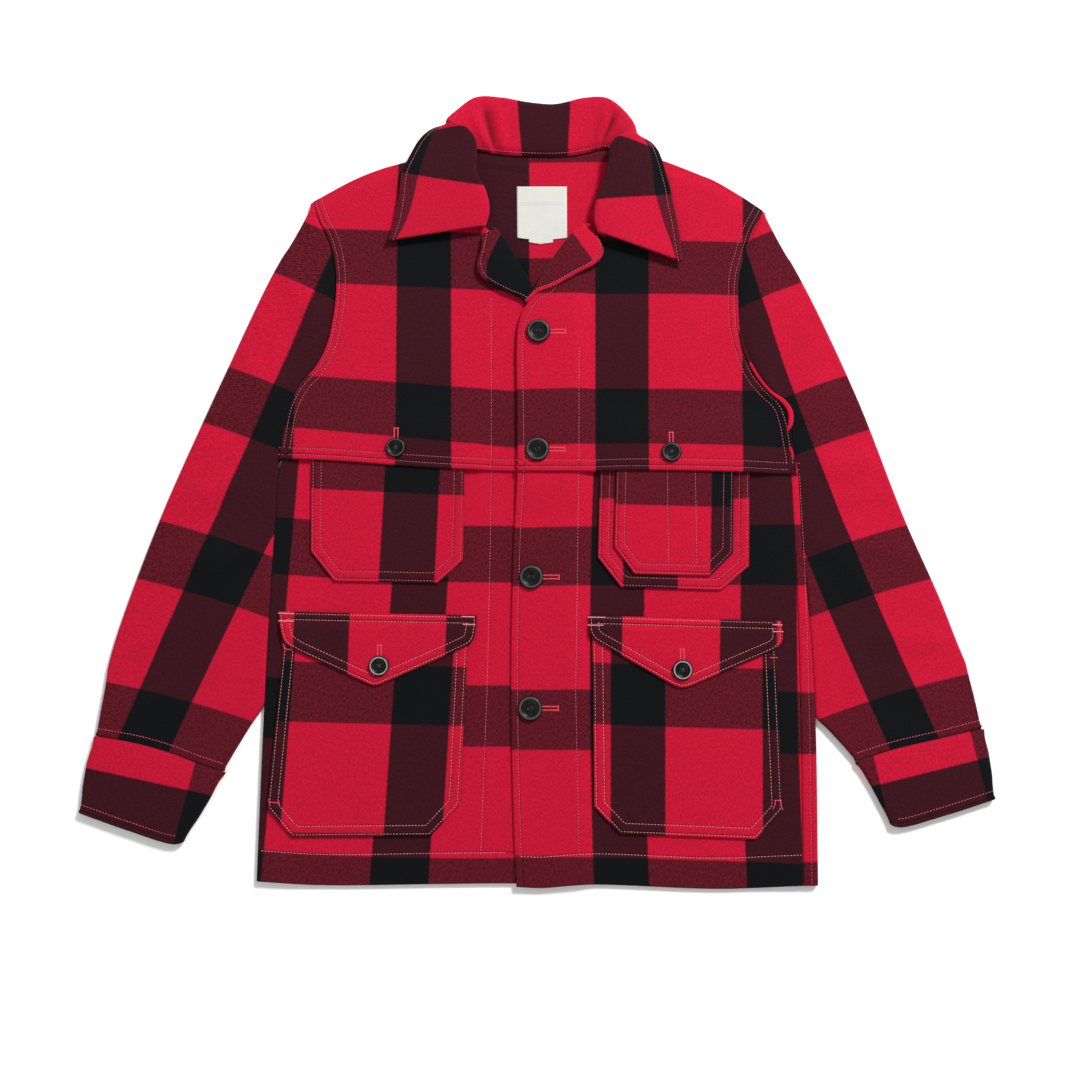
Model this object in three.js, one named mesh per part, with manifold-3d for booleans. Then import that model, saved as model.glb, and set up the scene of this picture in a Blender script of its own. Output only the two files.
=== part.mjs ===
// Mackinaw jacket in heavy checked wool, buttoned and laid flat on its back with the sleeves
// beside the body. Millimetres. The origin is on the surface, below the middle of the jacket's
// outline: +Z up, +Y towards the collar, +X towards the sleeve of the wearer's left arm.
// "right" and "left" in the names are the wearer's.
import * as THREE from 'three';
import { mergeVertices } from 'three/addons/utils/BufferGeometryUtils.js';
import Module from 'manifold-3d';

const wasm = await Module();
wasm.setup();

// Cloth and how it lies
const CLOTH = 2.0; // wall of the wool cloth
const DOUBLED = 2.6; // wall of the collar, whose two plies are sewn together
const CUFF_WALL = 2.4;
const LABEL_WALL = 1.0;
const GAP = 0.3; // left between neighbouring pieces
const PLY = CLOTH + GAP; // rise of a front laid on the back
const LAY = CLOTH + 2 * GAP; // rise of a pocket, yoke or flap laid on a front
const BACK_Z = CLOTH / 2; // middle of the back's wall, flat on the surface
const FRONT_Z = BACK_Z + PLY; // middle of the fronts' wall
const EDGE_PUFF = 2.2; // rise of the fronts beside the rolled side edges
const PUFF_REACH = 70; // how far that rise reaches in from the edge
const SIDE_TAIL = 6; // cloth that the side roll carries under or over to its seam
const SLEEVE_TOP_Z = FRONT_Z + LAY; // middle of the upper layer of a sleeve, level with the yoke
const SLEEVE_PUFF = 0.9;
const CUFF_TOP_Z = SLEEVE_TOP_Z + 0.6;
const SHOULDER_DROP = 2.1; // how far the yoke sinks onto the back at the shoulder seam
const SHOULDER_REACH = 16;
const SLEEVE_CLEAR = 1.3; // between the armhole seam's two edges
const BESIDE_BODY = 0.7; // between a sleeve's fold and the body's side edge
const UNDERARM_CLEAR = 2.2;
const CUFF_CLEAR = 1.6;
const UNDERARM_AT = { 1: 0.955, [-1]: 0.985 }; // underarm of each side, as a share of its side edge
const SWING_AT = 0.4; // where a sleeve leaves the side edge, as such a share
const LAP_X = [58, 38]; // the left front climbs onto the right one between these
const FRONT_TOP_Y = 24; // fronts run this far up beneath the yoke and are caught there
const POCKET_TOP_Y = 18; // the chest pockets' mouths, beneath the yoke
const HIP_TOP_Y = -160; // the hip pockets' mouths, beneath their flaps

// Grids
const ARMHOLE_STEPS = 13; // shared by the yoke, the back and the sleeve along their seam
const SLEEVE_SECTIONS = 9;
const ARMHOLE_DECAY = 20; // how soon a sleeve's sections lose the bow of the armhole
const FOLD_PACE = 1.9; // the sections lie closer at the top of a sleeve's inner fold
const STRIP_SECTIONS = 8; // along the side strip of the back
const STRIP_OVERLAP = 4; // of that strip with the flat part of the back
const CLOSEST_POINTS = 0.8; // of the back's outline

// Buttons
const FRONT_BUTTON = 24; // diameter
const SMALL_BUTTON = 20;
const BUTTON_SIDES = 16;
const HOLE_OFFSET = 2.1; // thread holes from the button's axis, each way
const HOLE_RADIUS = 1.1;

// Outlines seen from above, each a run of points [x, y]
const SIDE_RIGHT = [[-270, -396], [-268, -250], [-265, -124], [-262, -44], [-260, 6], [-254, 24]];
const SIDE_LEFT = [[270, -400], [272, -232], [267, -114], [264.5, -90], [262, 2]];
const SIDE_SEAM_LEFT = [[255, -400], [257, -250], [257, -124], [254, 2]];
const HEM_RIGHT = [[-270, -396], [-210, -399.5], [-96, -398.5], [-20, -398], [28, -400]];
const HEM_LEFT = [[-20, -401], [3, -402], [50, -399], [174, -403], [255, -400]];
const HEM_BACK = [[-260.4, -396], [-96, -398], [50, -398], [174, -402], [266.5, -400]];
const ARMHOLE_RIGHT = [[-232, 289], [-226, 271], [-214, 246], [-208, 223], [-206, 192], [-209, 160],
  [-215, 133], [-226, 111], [-240, 95], [-251, 73], [-256, 47], [-259, 17]];
const ARMHOLE_LEFT = [[233, 279], [220, 254], [212, 229], [206, 207], [205, 180], [206, 152],
  [212, 128], [220, 106], [233, 89], [246, 76], [253, 58], [257, 32], [261, 1]];
const YOKE_EDGE_RIGHT = [[-259, 17], [-203, 15], [-148, 11], [-85, 7], [28, 3]];
const YOKE_EDGE_LEFT = [[-20, 4], [57, 4], [113, 5], [208, 3], [261, 1]];
const SHOULDER_RIGHT = [[-232, 289], [-190, 313], [-164, 324], [-141, 331], [-108, 339], [-78, 345]];
const SHOULDER_LEFT = [[84, 346], [108, 341], [135, 332], [169, 318], [183, 312], [215, 292], [233, 279]];
const NECK_RIGHT = [[-78, 345], [-77, 330], [-72, 313], [-64, 291], [-62, 272], [-58, 264]];
const NECK_LEFT = [[66, 266], [70, 284], [78, 306], [84, 324], [86, 337], [84, 346]];
const NECK_BACK = [[-78, 345], [-60, 347], [-46, 345.5], [-18, 342.5], [8, 341], [34, 342.5],
  [58, 347.5], [84, 346]];
const ROLL_EDGE_RIGHT = [[-58, 264], [-48.5, 256], [-39, 241], [-29, 223], [-13, 193]];
const ROLL_EDGE_LEFT = [[11, 195], [17.5, 206], [28.5, 223], [40.5, 240], [51.5, 253], [66, 266]];
const FRONT_EDGE_LEFT = [[-20, -401], [-22, -366], [-26, -213], [-24, -75], [-20, 6], [-20, 30]];
const YOKE_FRONT_LEFT = [[-20, 4], [-20.5, 72], [-21, 139], [-19, 157], [-15, 169], [-8, 181], [1, 190],
  [11, 195]];
const SLEEVE_OUTER_RIGHT = [[-240, 270], [-272, 210], [-314, 112], [-337, 57], [-377, -44],
  [-416, -164], [-426, -212], [-432, -255]];
const SLEEVE_OUTER_LEFT = [[256, 233], [271, 203], [289, 164], [326, 74], [367, -44], [399, -124],
  [413, -164], [426, -201], [435, -244]];
const CUFF_SEAM_RIGHT = [[-432, -257], [-388, -265], [-356, -274], [-332, -283], [-304, -292]];
const CUFF_SEAM_LEFT = [[435, -249], [396, -259], [348, -270], [309, -282]];
const CUFF_OUTER_RIGHT = [[-433, -257], [-438, -281], [-444.5, -331]];
const CUFF_OUTER_LEFT = [[436.5, -250], [440, -276], [444.5, -318]];
const CUFF_HEM_RIGHT = [[-444.5, -331], [-395, -348], [-350, -361], [-341, -359]];
const CUFF_HEM_LEFT = [[444.5, -318], [395, -333.5], [349, -345], [341, -342]];
const CUFF_INNER_RIGHT = [[-303, -292], [-318, -319], [-341, -359]];
const CUFF_INNER_LEFT = [[309, -282], [325, -308], [341, -342]];
const LABEL = [[-21.5, 306], [-21, 250], [-9, 249], [-9, 245.5], [3, 243.8], [16, 245.5], [16, 249],
  [30.5, 250], [30.5, 306]];

// Cut corners of the patch pockets, from the upper outer corner round to the other
const POCKETS = {
  chest_pocket_right: { top: POCKET_TOP_Y, x: [-227, -73], level: 1, side: 'right',
    corners: [[-225, -76], [-201, -106], [-99, -108], [-74, -85]] },
  chest_pocket_left_outer: { top: POCKET_TOP_Y, x: [63, 213], level: 1, side: 'left',
    corners: [[60, -82], [83, -112], [182, -115], [210, -91]] },
  chest_pocket_left_inner: { top: POCKET_TOP_Y, x: [79, 197], level: 2, side: 'left',
    corners: [[76, -71], [96, -99], [171, -101], [194, -78]] },
  hip_pocket_right: { top: HIP_TOP_Y, x: [-249, -68], level: 1, side: 'right',
    corners: [[-261, -326], [-236, -354], [-103, -353], [-75, -323]] },
  hip_pocket_left: { top: HIP_TOP_Y, x: [54, 234], level: 1, side: 'left',
    corners: [[55, -325], [80, -351], [211, -356], [237, -328]] },
};

// Flaps of the hip pockets: sewn edge, then the free edge down to its point and back up
const FLAPS = {
  hip_flap_right: { side: 'right', sewn: [[-255, -136], [-60, -140]],
    free: [[[-253, -150], [-248, -166], [-236, -175]], [[-236, -175], [-159, -210]],
      [[-159, -210], [-82, -176]], [[-82, -176], [-64, -166], [-60, -151]]] },
  hip_flap_left: { side: 'left', sewn: [[51, -142], [240, -146]],
    free: [[[51, -156], [56, -164], [66, -170]], [[66, -170], [141, -213]],
      [[141, -213], [233, -174]], [[233, -174], [240, -166], [241, -157]]] },
};

// The collar in sections from its right front end round the back of the neck to its left one.
// Each row holds the neck seam, the line where it rolls over and the free edge, as x, y, z.
const COLLAR = [
  // neck seam        roll              free edge
  [-60, 257, 8.4, -54.5, 258, 15.0, -153, 243, 14.0],
  [-57, 276, 8.4, -50.5, 275, 15.5, -147, 263, 13.0],
  [-60, 296, 8.4, -54.0, 295, 16.0, -143, 290, 12.0],
  [-69, 318, 8.4, -64.0, 317, 16.5, -140, 318, 11.5],
  [-71, 336, 8.2, -64.0, 338, 17.0, -133, 334, 11.0],
  [-68, 344, 7.0, -66.0, 352, 18.0, -125, 356, 10.0],
  [-65, 345, 5.8, -74.0, 364, 19.0, -116, 366, 9.0],
  [-62, 345, 4.8, -87.0, 373, 18.0, -105, 372, 7.0],
  [-58, 344.5, 4.3, -97.0, 378, 15.0, -92, 366, 4.0],
  [-53, 343.5, 4.0, -83.0, 389, 11.0, -79, 366, 2.2],
  [-46, 342, 3.8, -64.0, 401, 7.0, -60, 371, 1.6],
  [-30, 340, 3.8, -38.0, 401.5, 4.8, -36, 371, 1.5],
  [-6, 338.5, 3.8, -10.0, 396.5, 4.4, -8, 369, 1.5],
  [20, 338.2, 3.8, 18.0, 394.5, 4.4, 16, 367, 1.5],
  [42, 340.5, 3.8, 48.0, 401, 4.8, 46, 371, 1.5],
  [56, 344, 3.8, 71.0, 400.5, 7.0, 68, 371, 1.6],
  [65, 346.5, 4.0, 88.0, 386, 11.0, 85, 364, 2.2],
  [70, 347.5, 4.3, 104.0, 369, 15.0, 99, 356, 4.0],
  [74, 348, 4.8, 98.0, 360, 18.0, 116, 354, 7.0],
  [77, 346, 5.8, 84.0, 353, 19.0, 124, 343, 9.0],
  [80, 338, 7.2, 76.0, 342, 18.0, 129, 331, 10.0],
  [80, 323, 8.2, 73.5, 325, 17.0, 133, 316, 10.5],
  [75, 307, 8.4, 69.0, 308, 16.5, 136.5, 303, 11.0],
  [67, 288, 8.4, 62.0, 288, 16.0, 140, 282, 12.0],
  [65, 266, 8.9, 59.0, 266, 15.5, 144, 260, 13.0],
  [69, 249, 9.3, 63.0, 251, 15.2, 149, 220, 14.0],
];

// The turned-out upper corners of the fronts, their facings up, in rows like the collar's
const LAPEL_RIGHT = [
  [-11.2, 194, 6.0, -4, 192, 8.4, -16, 182, 9.9],
  [-17.3, 206, 6.0, -10, 204, 9.3, -36, 191.5, 10.8],
  [-27.4, 223, 6.0, -20, 221, 9.8, -58, 206, 11.2],
  [-37.4, 241, 6.0, -30, 239, 10.2, -62, 217, 11.6],
  [-45.8, 255, 6.0, -39, 252, 10.2, -58, 234, 12.0],
  [-49.5, 261, 6.0, -44, 258, 10.2, -55.5, 250, 12.2],
];
const LAPEL_LEFT = [
  [12.9, 210, 10.8, 5, 208, 12.8, 17, 195, 13.7],
  [25.1, 226, 10.8, 17, 225, 13.8, 42, 209, 14.8],
  [37.3, 243, 10.4, 29, 242, 14.0, 62, 221, 14.4],
  [48.2, 256, 9.0, 40, 255, 13.4, 67.5, 232, 13.6],
  [55.6, 263, 8.1, 49, 261, 12.8, 63, 244, 13.0],
];

const RED_WOOL = { color: 0xa81c2e, roughness: 0.95, metalness: 0 };
const WINE_WOOL = { color: 0x4a1620, roughness: 0.95, metalness: 0 };
const FACING_WOOL = { color: 0x7a1826, roughness: 0.95, metalness: 0 };
const BLACK_BUTTON = { color: 0x17181a, roughness: 0.35, metalness: 0 };
const WHITE_LABEL = { color: 0xece9e0, roughness: 0.8, metalness: 0 };

const jacket = new THREE.Group();

// Small helpers

function blend(from, to, t) {
  return from + (to - from) * t;
}

// Soft step from 0 at "from" to 1 at "to", in either direction
function ease(from, to, value) {
  const t = THREE.MathUtils.clamp((value - from) / (to - from), 0, 1);
  return t * t * (3 - 2 * t);
}

// Smooth run through points of an outline, as a function of the share of its length
function through(points) {
  const flat = points.map(([x, y]) => new THREE.Vector3(x, y, 0));
  const curve = new THREE.CatmullRomCurve3(flat, false, 'centripetal');
  return (t) => curve.getPointAt(THREE.MathUtils.clamp(t, 0, 1));
}

// Several runs joined at corners, each taking the given number of grid steps
function chain(runs) {
  const steps = runs.reduce((sum, [, count]) => sum + count, 0);
  return (t) => {
    let step = t * steps;
    for (const [run, count] of runs) {
      if (step <= count + 1e-9) return run(step / count);
      step -= count;
    }
    return runs.at(-1)[0](1);
  };
}

// Run moved sideways, to the left of its direction for a positive distance
function shifted(run, distance) {
  return (t) => {
    const ahead = run(Math.min(t + 0.01, 1));
    const along = ahead.sub(run(Math.max(t - 0.01, 0))).normalize();
    return run(t).add(new THREE.Vector3(-along.y, along.x, 0).multiplyScalar(distance));
  };
}

// Point of the patch between four runs that share their corners
function patchPoint({ bottom, top, left, right }, u, v) {
  const point = bottom(u).multiplyScalar(1 - v);
  point.addScaledVector(top(u), v);
  point.addScaledVector(left(v), 1 - u);
  point.addScaledVector(right(v), u);
  point.addScaledVector(bottom(0), -(1 - u) * (1 - v));
  point.addScaledVector(bottom(1), -u * (1 - v));
  point.addScaledVector(top(0), -(1 - u) * v);
  point.addScaledVector(top(1), -u * v);
  return point;
}

// Rows of points over a patch, lifted to the height of the layer
function patchRows(sides, columns, rows, height) {
  const grid = [];
  for (let j = 0; j <= rows; j += 1) {
    const row = [];
    for (let i = 0; i <= columns; i += 1) {
      const point = patchPoint(sides, i / columns, j / rows);
      point.z = height(point.x, point.y);
      row.push(point);
    }
    grid.push(row);
  }
  return grid;
}

// Direction square to the cloth at one point of its grid
function clothNormal(grid, i, j, closed) {
  const row = grid[i];
  const last = row.length - 1;
  const before = closed ? row[(j + last) % row.length] : row[Math.max(j - 1, 0)];
  const after = closed ? row[(j + 1) % row.length] : row[Math.min(j + 1, last)];
  const across = after.clone().sub(before);
  const along = grid[Math.min(i + 1, grid.length - 1)][j].clone();
  along.sub(grid[Math.max(i - 1, 0)][j]);
  return across.cross(along).normalize();
}

function turnedOutward(geometry) {
  const at = geometry.attributes.position;
  const index = geometry.index;
  const [a, b, c] = [new THREE.Vector3(), new THREE.Vector3(), new THREE.Vector3()];
  let volume = 0;
  for (let k = 0; k < index.count; k += 3) {
    a.fromBufferAttribute(at, index.getX(k));
    b.fromBufferAttribute(at, index.getX(k + 1));
    c.fromBufferAttribute(at, index.getX(k + 2));
    volume += a.dot(b.cross(c));
  }
  if (volume < 0) {
    for (let k = 0; k < index.count; k += 3) {
      const first = index.getX(k);
      index.setX(k, index.getX(k + 1));
      index.setX(k + 1, first);
    }
  }
  return geometry;
}

// Wall of cloth on a grid of points, half its thickness to each side. A closed grid is a tube
// open at both ends.
function clothWall(grid, thickness, closed = false) {
  const rows = grid.length;
  const columns = grid[0].length;
  const positions = [];
  for (const side of [0.5, -0.5]) {
    for (let i = 0; i < rows; i += 1) {
      for (let j = 0; j < columns; j += 1) {
        const point = grid[i][j].clone();
        point.addScaledVector(clothNormal(grid, i, j, closed), side * thickness);
        positions.push(point.x, point.y, point.z);
      }
    }
  }
  const at = (side, i, j) => (side * rows + i) * columns + (j % columns);
  const triangles = [];
  const quad = (a, b, c, d) => triangles.push(a, b, c, a, c, d);
  const spans = closed ? columns : columns - 1;
  for (let i = 0; i < rows - 1; i += 1) {
    for (let j = 0; j < spans; j += 1) {
      quad(at(0, i, j), at(0, i, j + 1), at(0, i + 1, j + 1), at(0, i + 1, j));
      quad(at(1, i, j), at(1, i + 1, j), at(1, i + 1, j + 1), at(1, i, j + 1));
    }
  }
  for (let j = 0; j < spans; j += 1) {
    quad(at(0, 0, j), at(1, 0, j), at(1, 0, j + 1), at(0, 0, j + 1));
    quad(at(0, rows - 1, j), at(0, rows - 1, j + 1), at(1, rows - 1, j + 1), at(1, rows - 1, j));
  }
  if (!closed) {
    for (let i = 0; i < rows - 1; i += 1) {
      quad(at(0, i, 0), at(0, i + 1, 0), at(1, i + 1, 0), at(1, i, 0));
      quad(at(0, i, columns - 1), at(1, i, columns - 1), at(1, i + 1, columns - 1),
        at(0, i + 1, columns - 1));
    }
  }
  const geometry = new THREE.BufferGeometry();
  geometry.setAttribute('position', new THREE.Float32BufferAttribute(positions, 3));
  geometry.setIndex(triangles);
  return turnedOutward(geometry);
}

function solidOf(geometry) {
  const bare = geometry.clone();
  bare.deleteAttribute('normal');
  bare.deleteAttribute('uv');
  const merged = mergeVertices(bare, 1e-4);
  const vertProperties = Float32Array.from(merged.attributes.position.array);
  const triVerts = Uint32Array.from(merged.index.array);
  return new wasm.Manifold(new wasm.Mesh({ numProp: 3, vertProperties, triVerts }));
}

function geometryOf(solid) {
  const mesh = solid.getMesh();
  const geometry = new THREE.BufferGeometry();
  const positions = Float32Array.from(mesh.vertProperties);
  geometry.setAttribute('position', new THREE.BufferAttribute(positions, 3));
  geometry.setIndex(Array.from(mesh.triVerts));
  return geometry;
}

function addPiece(name, geometry, finish) {
  const mesh = new THREE.Mesh(geometry, new THREE.MeshStandardMaterial(finish));
  mesh.name = name;
  jacket.add(mesh);
  return mesh;
}

// Flat plate of cloth from an outline, its underside at the given height
function flatPlate(outline, underside, thickness) {
  const shape = new THREE.Shape(outline.map((point) => new THREE.Vector2(point.x, point.y)));
  const plate = new THREE.ExtrudeGeometry(shape, { depth: thickness, bevelEnabled: false });
  plate.translate(0, 0, underside);
  return plate;
}

function pointsAlong(run, count) {
  return Array.from({ length: count }, (_, k) => run(k / (count - 1)));
}

// Heights of the layers, at the middle of each wall

function sideDistance(x, y) {
  const halfWidth = blend(270, 261.5, THREE.MathUtils.clamp((y + 400) / 400, 0, 1));
  return halfWidth - Math.abs(x);
}

function edgePuff(x, y) {
  return EDGE_PUFF * ease(PUFF_REACH, 6, sideDistance(x, y)) * ease(60, 5, y);
}

function frontRightZ(x, y) {
  return FRONT_Z + edgePuff(x, y);
}

// Over the right front alone below the yoke, and over its yoke as well from there up
function frontLeftZ(x, y) {
  const climb = THREE.MathUtils.clamp((LAP_X[0] - x) / (LAP_X[0] - LAP_X[1]), 0, 1);
  return FRONT_Z + edgePuff(x, y) + (LAY + LAY * ease(-45, -6, y)) * climb;
}

function overChestPocket(y) {
  return ease(80, POCKET_TOP_Y + 16, y);
}

function yokeRightZ(x, y) {
  const width = ease(-44, -65, x) * ease(-252, -234, x);
  return frontRightZ(x, y) + LAY + LAY * width * overChestPocket(y);
}

function yokeLeftZ(x, y) {
  const outer = ease(36, 54, x) * ease(242, 221, x);
  const inner = ease(56, 73, x) * ease(222, 203, x);
  return frontLeftZ(x, y) + LAY + LAY * (outer + inner) * overChestPocket(y);
}

function frontZ(side) {
  return side === 'right' ? frontRightZ : frontLeftZ;
}

function flapZ(side) {
  return (x, y) => frontZ(side)(x, y) + LAY + LAY * ease(-140, -156, y);
}

// Arc of a rolled edge in a plane square to the surface, from its upper to its lower end
function rollArc(centre, outward, radius, steps) {
  const points = [];
  for (let k = 1; k < steps; k += 1) {
    const angle = Math.PI / 2 - (Math.PI * k) / steps;
    const point = centre.clone().addScaledVector(outward, radius * Math.cos(angle));
    point.z = centre.z + radius * Math.sin(angle);
    points.push(point);
  }
  return points;
}

// The back, flat on the surface. Its left side edge rolls up over the fold and shows as a
// strip as far as the side seam of the left front.
function makeBack() {
  const foldRadius = (FRONT_Z + EDGE_PUFF - BACK_Z) / 2;
  const inset = foldRadius + CLOTH / 2;
  const rightSeam = through(SIDE_RIGHT);
  const leftSide = through(SIDE_LEFT);
  const rightInset = inset + SIDE_TAIL + GAP;
  const outline = [
    ...pointsAlong(through(HEM_BACK), 7),
    ...pointsAlong(leftSide, 7).map((point) => point.setX(point.x - inset)),
    ...pointsAlong(through(ARMHOLE_LEFT), ARMHOLE_STEPS + 1).reverse(),
    ...pointsAlong(through(SHOULDER_LEFT), 5).reverse(),
    ...pointsAlong(through(NECK_BACK), 10).reverse(),
    ...pointsAlong(through(SHOULDER_RIGHT), 5).reverse(),
    ...pointsAlong(through(ARMHOLE_RIGHT), ARMHOLE_STEPS + 1).filter(({ y }) => y > FRONT_TOP_Y + 3),
    ...pointsAlong(rightSeam, 7).map((point) => point.setX(point.x + rightInset)).reverse(),
  ];
  const spaced = outline.filter((point, k) => {
    return k === 0 || point.distanceTo(outline[k - 1]) > CLOSEST_POINTS;
  });
  if (spaced[0].distanceTo(spaced.at(-1)) < CLOSEST_POINTS) spaced.pop();
  const plate = flatPlate(spaced, 0, CLOTH);

  const seam = through(SIDE_SEAM_LEFT);
  const strip = [];
  for (let k = 0; k <= STRIP_SECTIONS; k += 1) {
    const t = k / STRIP_SECTIONS;
    const edge = leftSide(t);
    const centre = edge.clone().setX(edge.x - inset);
    centre.z = BACK_Z + foldRadius;
    const arc = rollArc(centre, new THREE.Vector3(1, 0, 0), foldRadius, 5).reverse();
    const start = new THREE.Vector3(centre.x - STRIP_OVERLAP, edge.y, BACK_Z);
    const upper = new THREE.Vector3(centre.x, edge.y, FRONT_Z + EDGE_PUFF);
    const end = new THREE.Vector3(seam(t).x + GAP, edge.y, FRONT_Z + EDGE_PUFF);
    strip.push([start, new THREE.Vector3(centre.x, edge.y, BACK_Z), ...arc, upper, end]);
  }
  const joined = solidOf(plate).add(solidOf(clothWall(strip, CLOTH)));
  addPiece('back_panel', geometryOf(joined), RED_WOOL);
}

// Right front, the one beneath at the closure. Its side edge rolls under to the side seam.
function makeFrontRight() {
  const foldRadius = (FRONT_Z + EDGE_PUFF - BACK_Z) / 2;
  const inset = foldRadius + CLOTH / 2;
  const side = through(SIDE_RIGHT);
  const sides = {
    bottom: through([[-270 + inset, -396], ...HEM_RIGHT.slice(1)]),
    top: through([[SIDE_RIGHT.at(-1)[0] + inset, FRONT_TOP_Y], [28, FRONT_TOP_Y]]),
    left: (v) => side(v).setX(side(v).x + inset),
    right: through([[28, -400], [28, FRONT_TOP_Y]]),
  };
  const grid = patchRows(sides, 12, 11, frontRightZ);
  for (const row of grid) {
    const upper = row[0];
    const radius = (upper.z - BACK_Z) / 2;
    const centre = upper.clone().setZ(BACK_Z + radius);
    const arc = rollArc(centre, new THREE.Vector3(-1, 0, 0), radius, 5);
    const lower = upper.clone().setZ(BACK_Z);
    const tail = new THREE.Vector3(upper.x + SIDE_TAIL, upper.y, BACK_Z);
    row.unshift(tail, lower, ...arc.reverse());
  }
  addPiece('front_right', clothWall(grid, CLOTH), RED_WOOL);
}

// Left front, on top, with the buttonholes
function makeFrontLeft() {
  const seam = through(SIDE_SEAM_LEFT);
  const corner = [249, FRONT_TOP_Y];
  const sides = {
    bottom: through(HEM_LEFT),
    top: through([[-20, FRONT_TOP_Y], corner]),
    left: through([...FRONT_EDGE_LEFT.slice(0, -1), [-20, FRONT_TOP_Y]]),
    right: chain([[seam, 10], [through([[254, 2], corner]), 1]]),
  };
  addPiece('front_left', clothWall(patchRows(sides, 14, 11, frontLeftZ), CLOTH), RED_WOOL);
}

// Height of a yoke, sinking onto the back along the shoulder seam
function sunkAtShoulder(height, shoulder) {
  const seam = pointsAlong(shoulder, 40);
  return (x, y) => {
    const nearest = Math.min(...seam.map((point) => Math.hypot(point.x - x, point.y - y)));
    return height(x, y) - SHOULDER_DROP * ease(SHOULDER_REACH, 0, nearest);
  };
}

function makeYokes() {
  const right = {
    bottom: through(YOKE_EDGE_RIGHT),
    top: chain([[through(SHOULDER_RIGHT), 6], [through(NECK_RIGHT), 3], [through(ROLL_EDGE_RIGHT), 3],
      [through([[-13, 193], [28, 172]]), 1]]),
    left: through([...ARMHOLE_RIGHT].reverse()),
    right: through([[28, 3], [28, 172]]),
  };
  const rightZ = sunkAtShoulder(yokeRightZ, through(SHOULDER_RIGHT));
  addPiece('yoke_right', clothWall(patchRows(right, 13, ARMHOLE_STEPS, rightZ), CLOTH), RED_WOOL);
  const left = {
    bottom: through(YOKE_EDGE_LEFT),
    top: through(SHOULDER_LEFT),
    left: chain([[through(YOKE_FRONT_LEFT), 7], [through(ROLL_EDGE_LEFT), 3], [through(NECK_LEFT), 3]]),
    right: through([...ARMHOLE_LEFT].reverse()),
  };
  const leftZ = sunkAtShoulder(yokeLeftZ, through(SHOULDER_LEFT));
  addPiece('yoke_left', clothWall(patchRows(left, 14, ARMHOLE_STEPS, leftZ), CLOTH), RED_WOOL);
}

// Flattened tube between an upper end, a lower end and two folded sides, all runs that start
// at the upper end or at the outer side
function flatTube({ upper, lower, outer, inner }, { sections, steps, wall, topZ, upperDecay }) {
  const bottomZ = wall / 2;
  const radius = (topZ(0, 0) - bottomZ) / 2;
  const inset = radius + wall / 2;
  const length = pointsAlong(upper, 60).reduce((sum, point, k, all) => {
    return k ? sum + point.distanceTo(all[k - 1]) : 0;
  }, 0);
  const trim = inset / length;
  const trimmedUpper = (t) => upper(THREE.MathUtils.clamp(t, trim, 1 - trim));
  const lowerTrim = inset / lower(0).distanceTo(lower(1));
  const trimmedLower = (t) => lower(THREE.MathUtils.clamp(t, lowerTrim, 1 - lowerTrim));
  const towards = (side, sign, s) => {
    const along = side(Math.min(s + 0.02, 1)).sub(side(Math.max(s - 0.02, 0))).normalize();
    const square = new THREE.Vector3(-along.y, along.x, 0).multiplyScalar(sign);
    return side(s).addScaledVector(square, -inset);
  };
  const insideOf = (side, sign, start, end) => (s) => {
    const point = towards(side, sign, s);
    point.lerp(start, Math.max(0, 1 - s * sections));
    point.lerp(end, Math.max(0, 1 - (1 - s) * sections));
    return point;
  };
  const handed = Math.sign(upper(1).sub(upper(0)).cross(outer(1).sub(outer(0))).z);
  const outerFold = insideOf(outer, handed, trimmedUpper(0), trimmedLower(0));
  const innerFold = insideOf(inner, -handed, trimmedUpper(1), trimmedLower(1));
  const bulgeOf = (run, t) => run(t).sub(run(0).lerp(run(1), t));
  const rings = [];
  for (let k = 0; k <= sections; k += 1) {
    const s = k / sections;
    const above = [];
    const below = [];
    for (let i = 0; i <= steps; i += 1) {
      const point = outerFold(s).lerp(innerFold(s), i / steps);
      point.addScaledVector(bulgeOf(trimmedUpper, i / steps), (1 - s) ** upperDecay);
      point.addScaledVector(bulgeOf(trimmedLower, i / steps), s ** 3);
      above.push(point.clone().setZ(topZ(s, i / steps)));
      below.push(point.clone().setZ(bottomZ));
    }
    const middle = bottomZ + radius;
    const toInner = inner(s).sub(innerFold(s)).normalize();
    const toOuter = outer(s).sub(outerFold(s)).normalize();
    const innerArc = rollArc(above.at(-1).clone().setZ(middle), toInner, radius, 4);
    const outerArc = rollArc(above[0].clone().setZ(middle), toOuter, radius, 4).reverse();
    rings.push([...above, ...innerArc, ...below.reverse(), ...outerArc]);
  }
  return clothWall(rings, wall, true);
}

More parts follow.
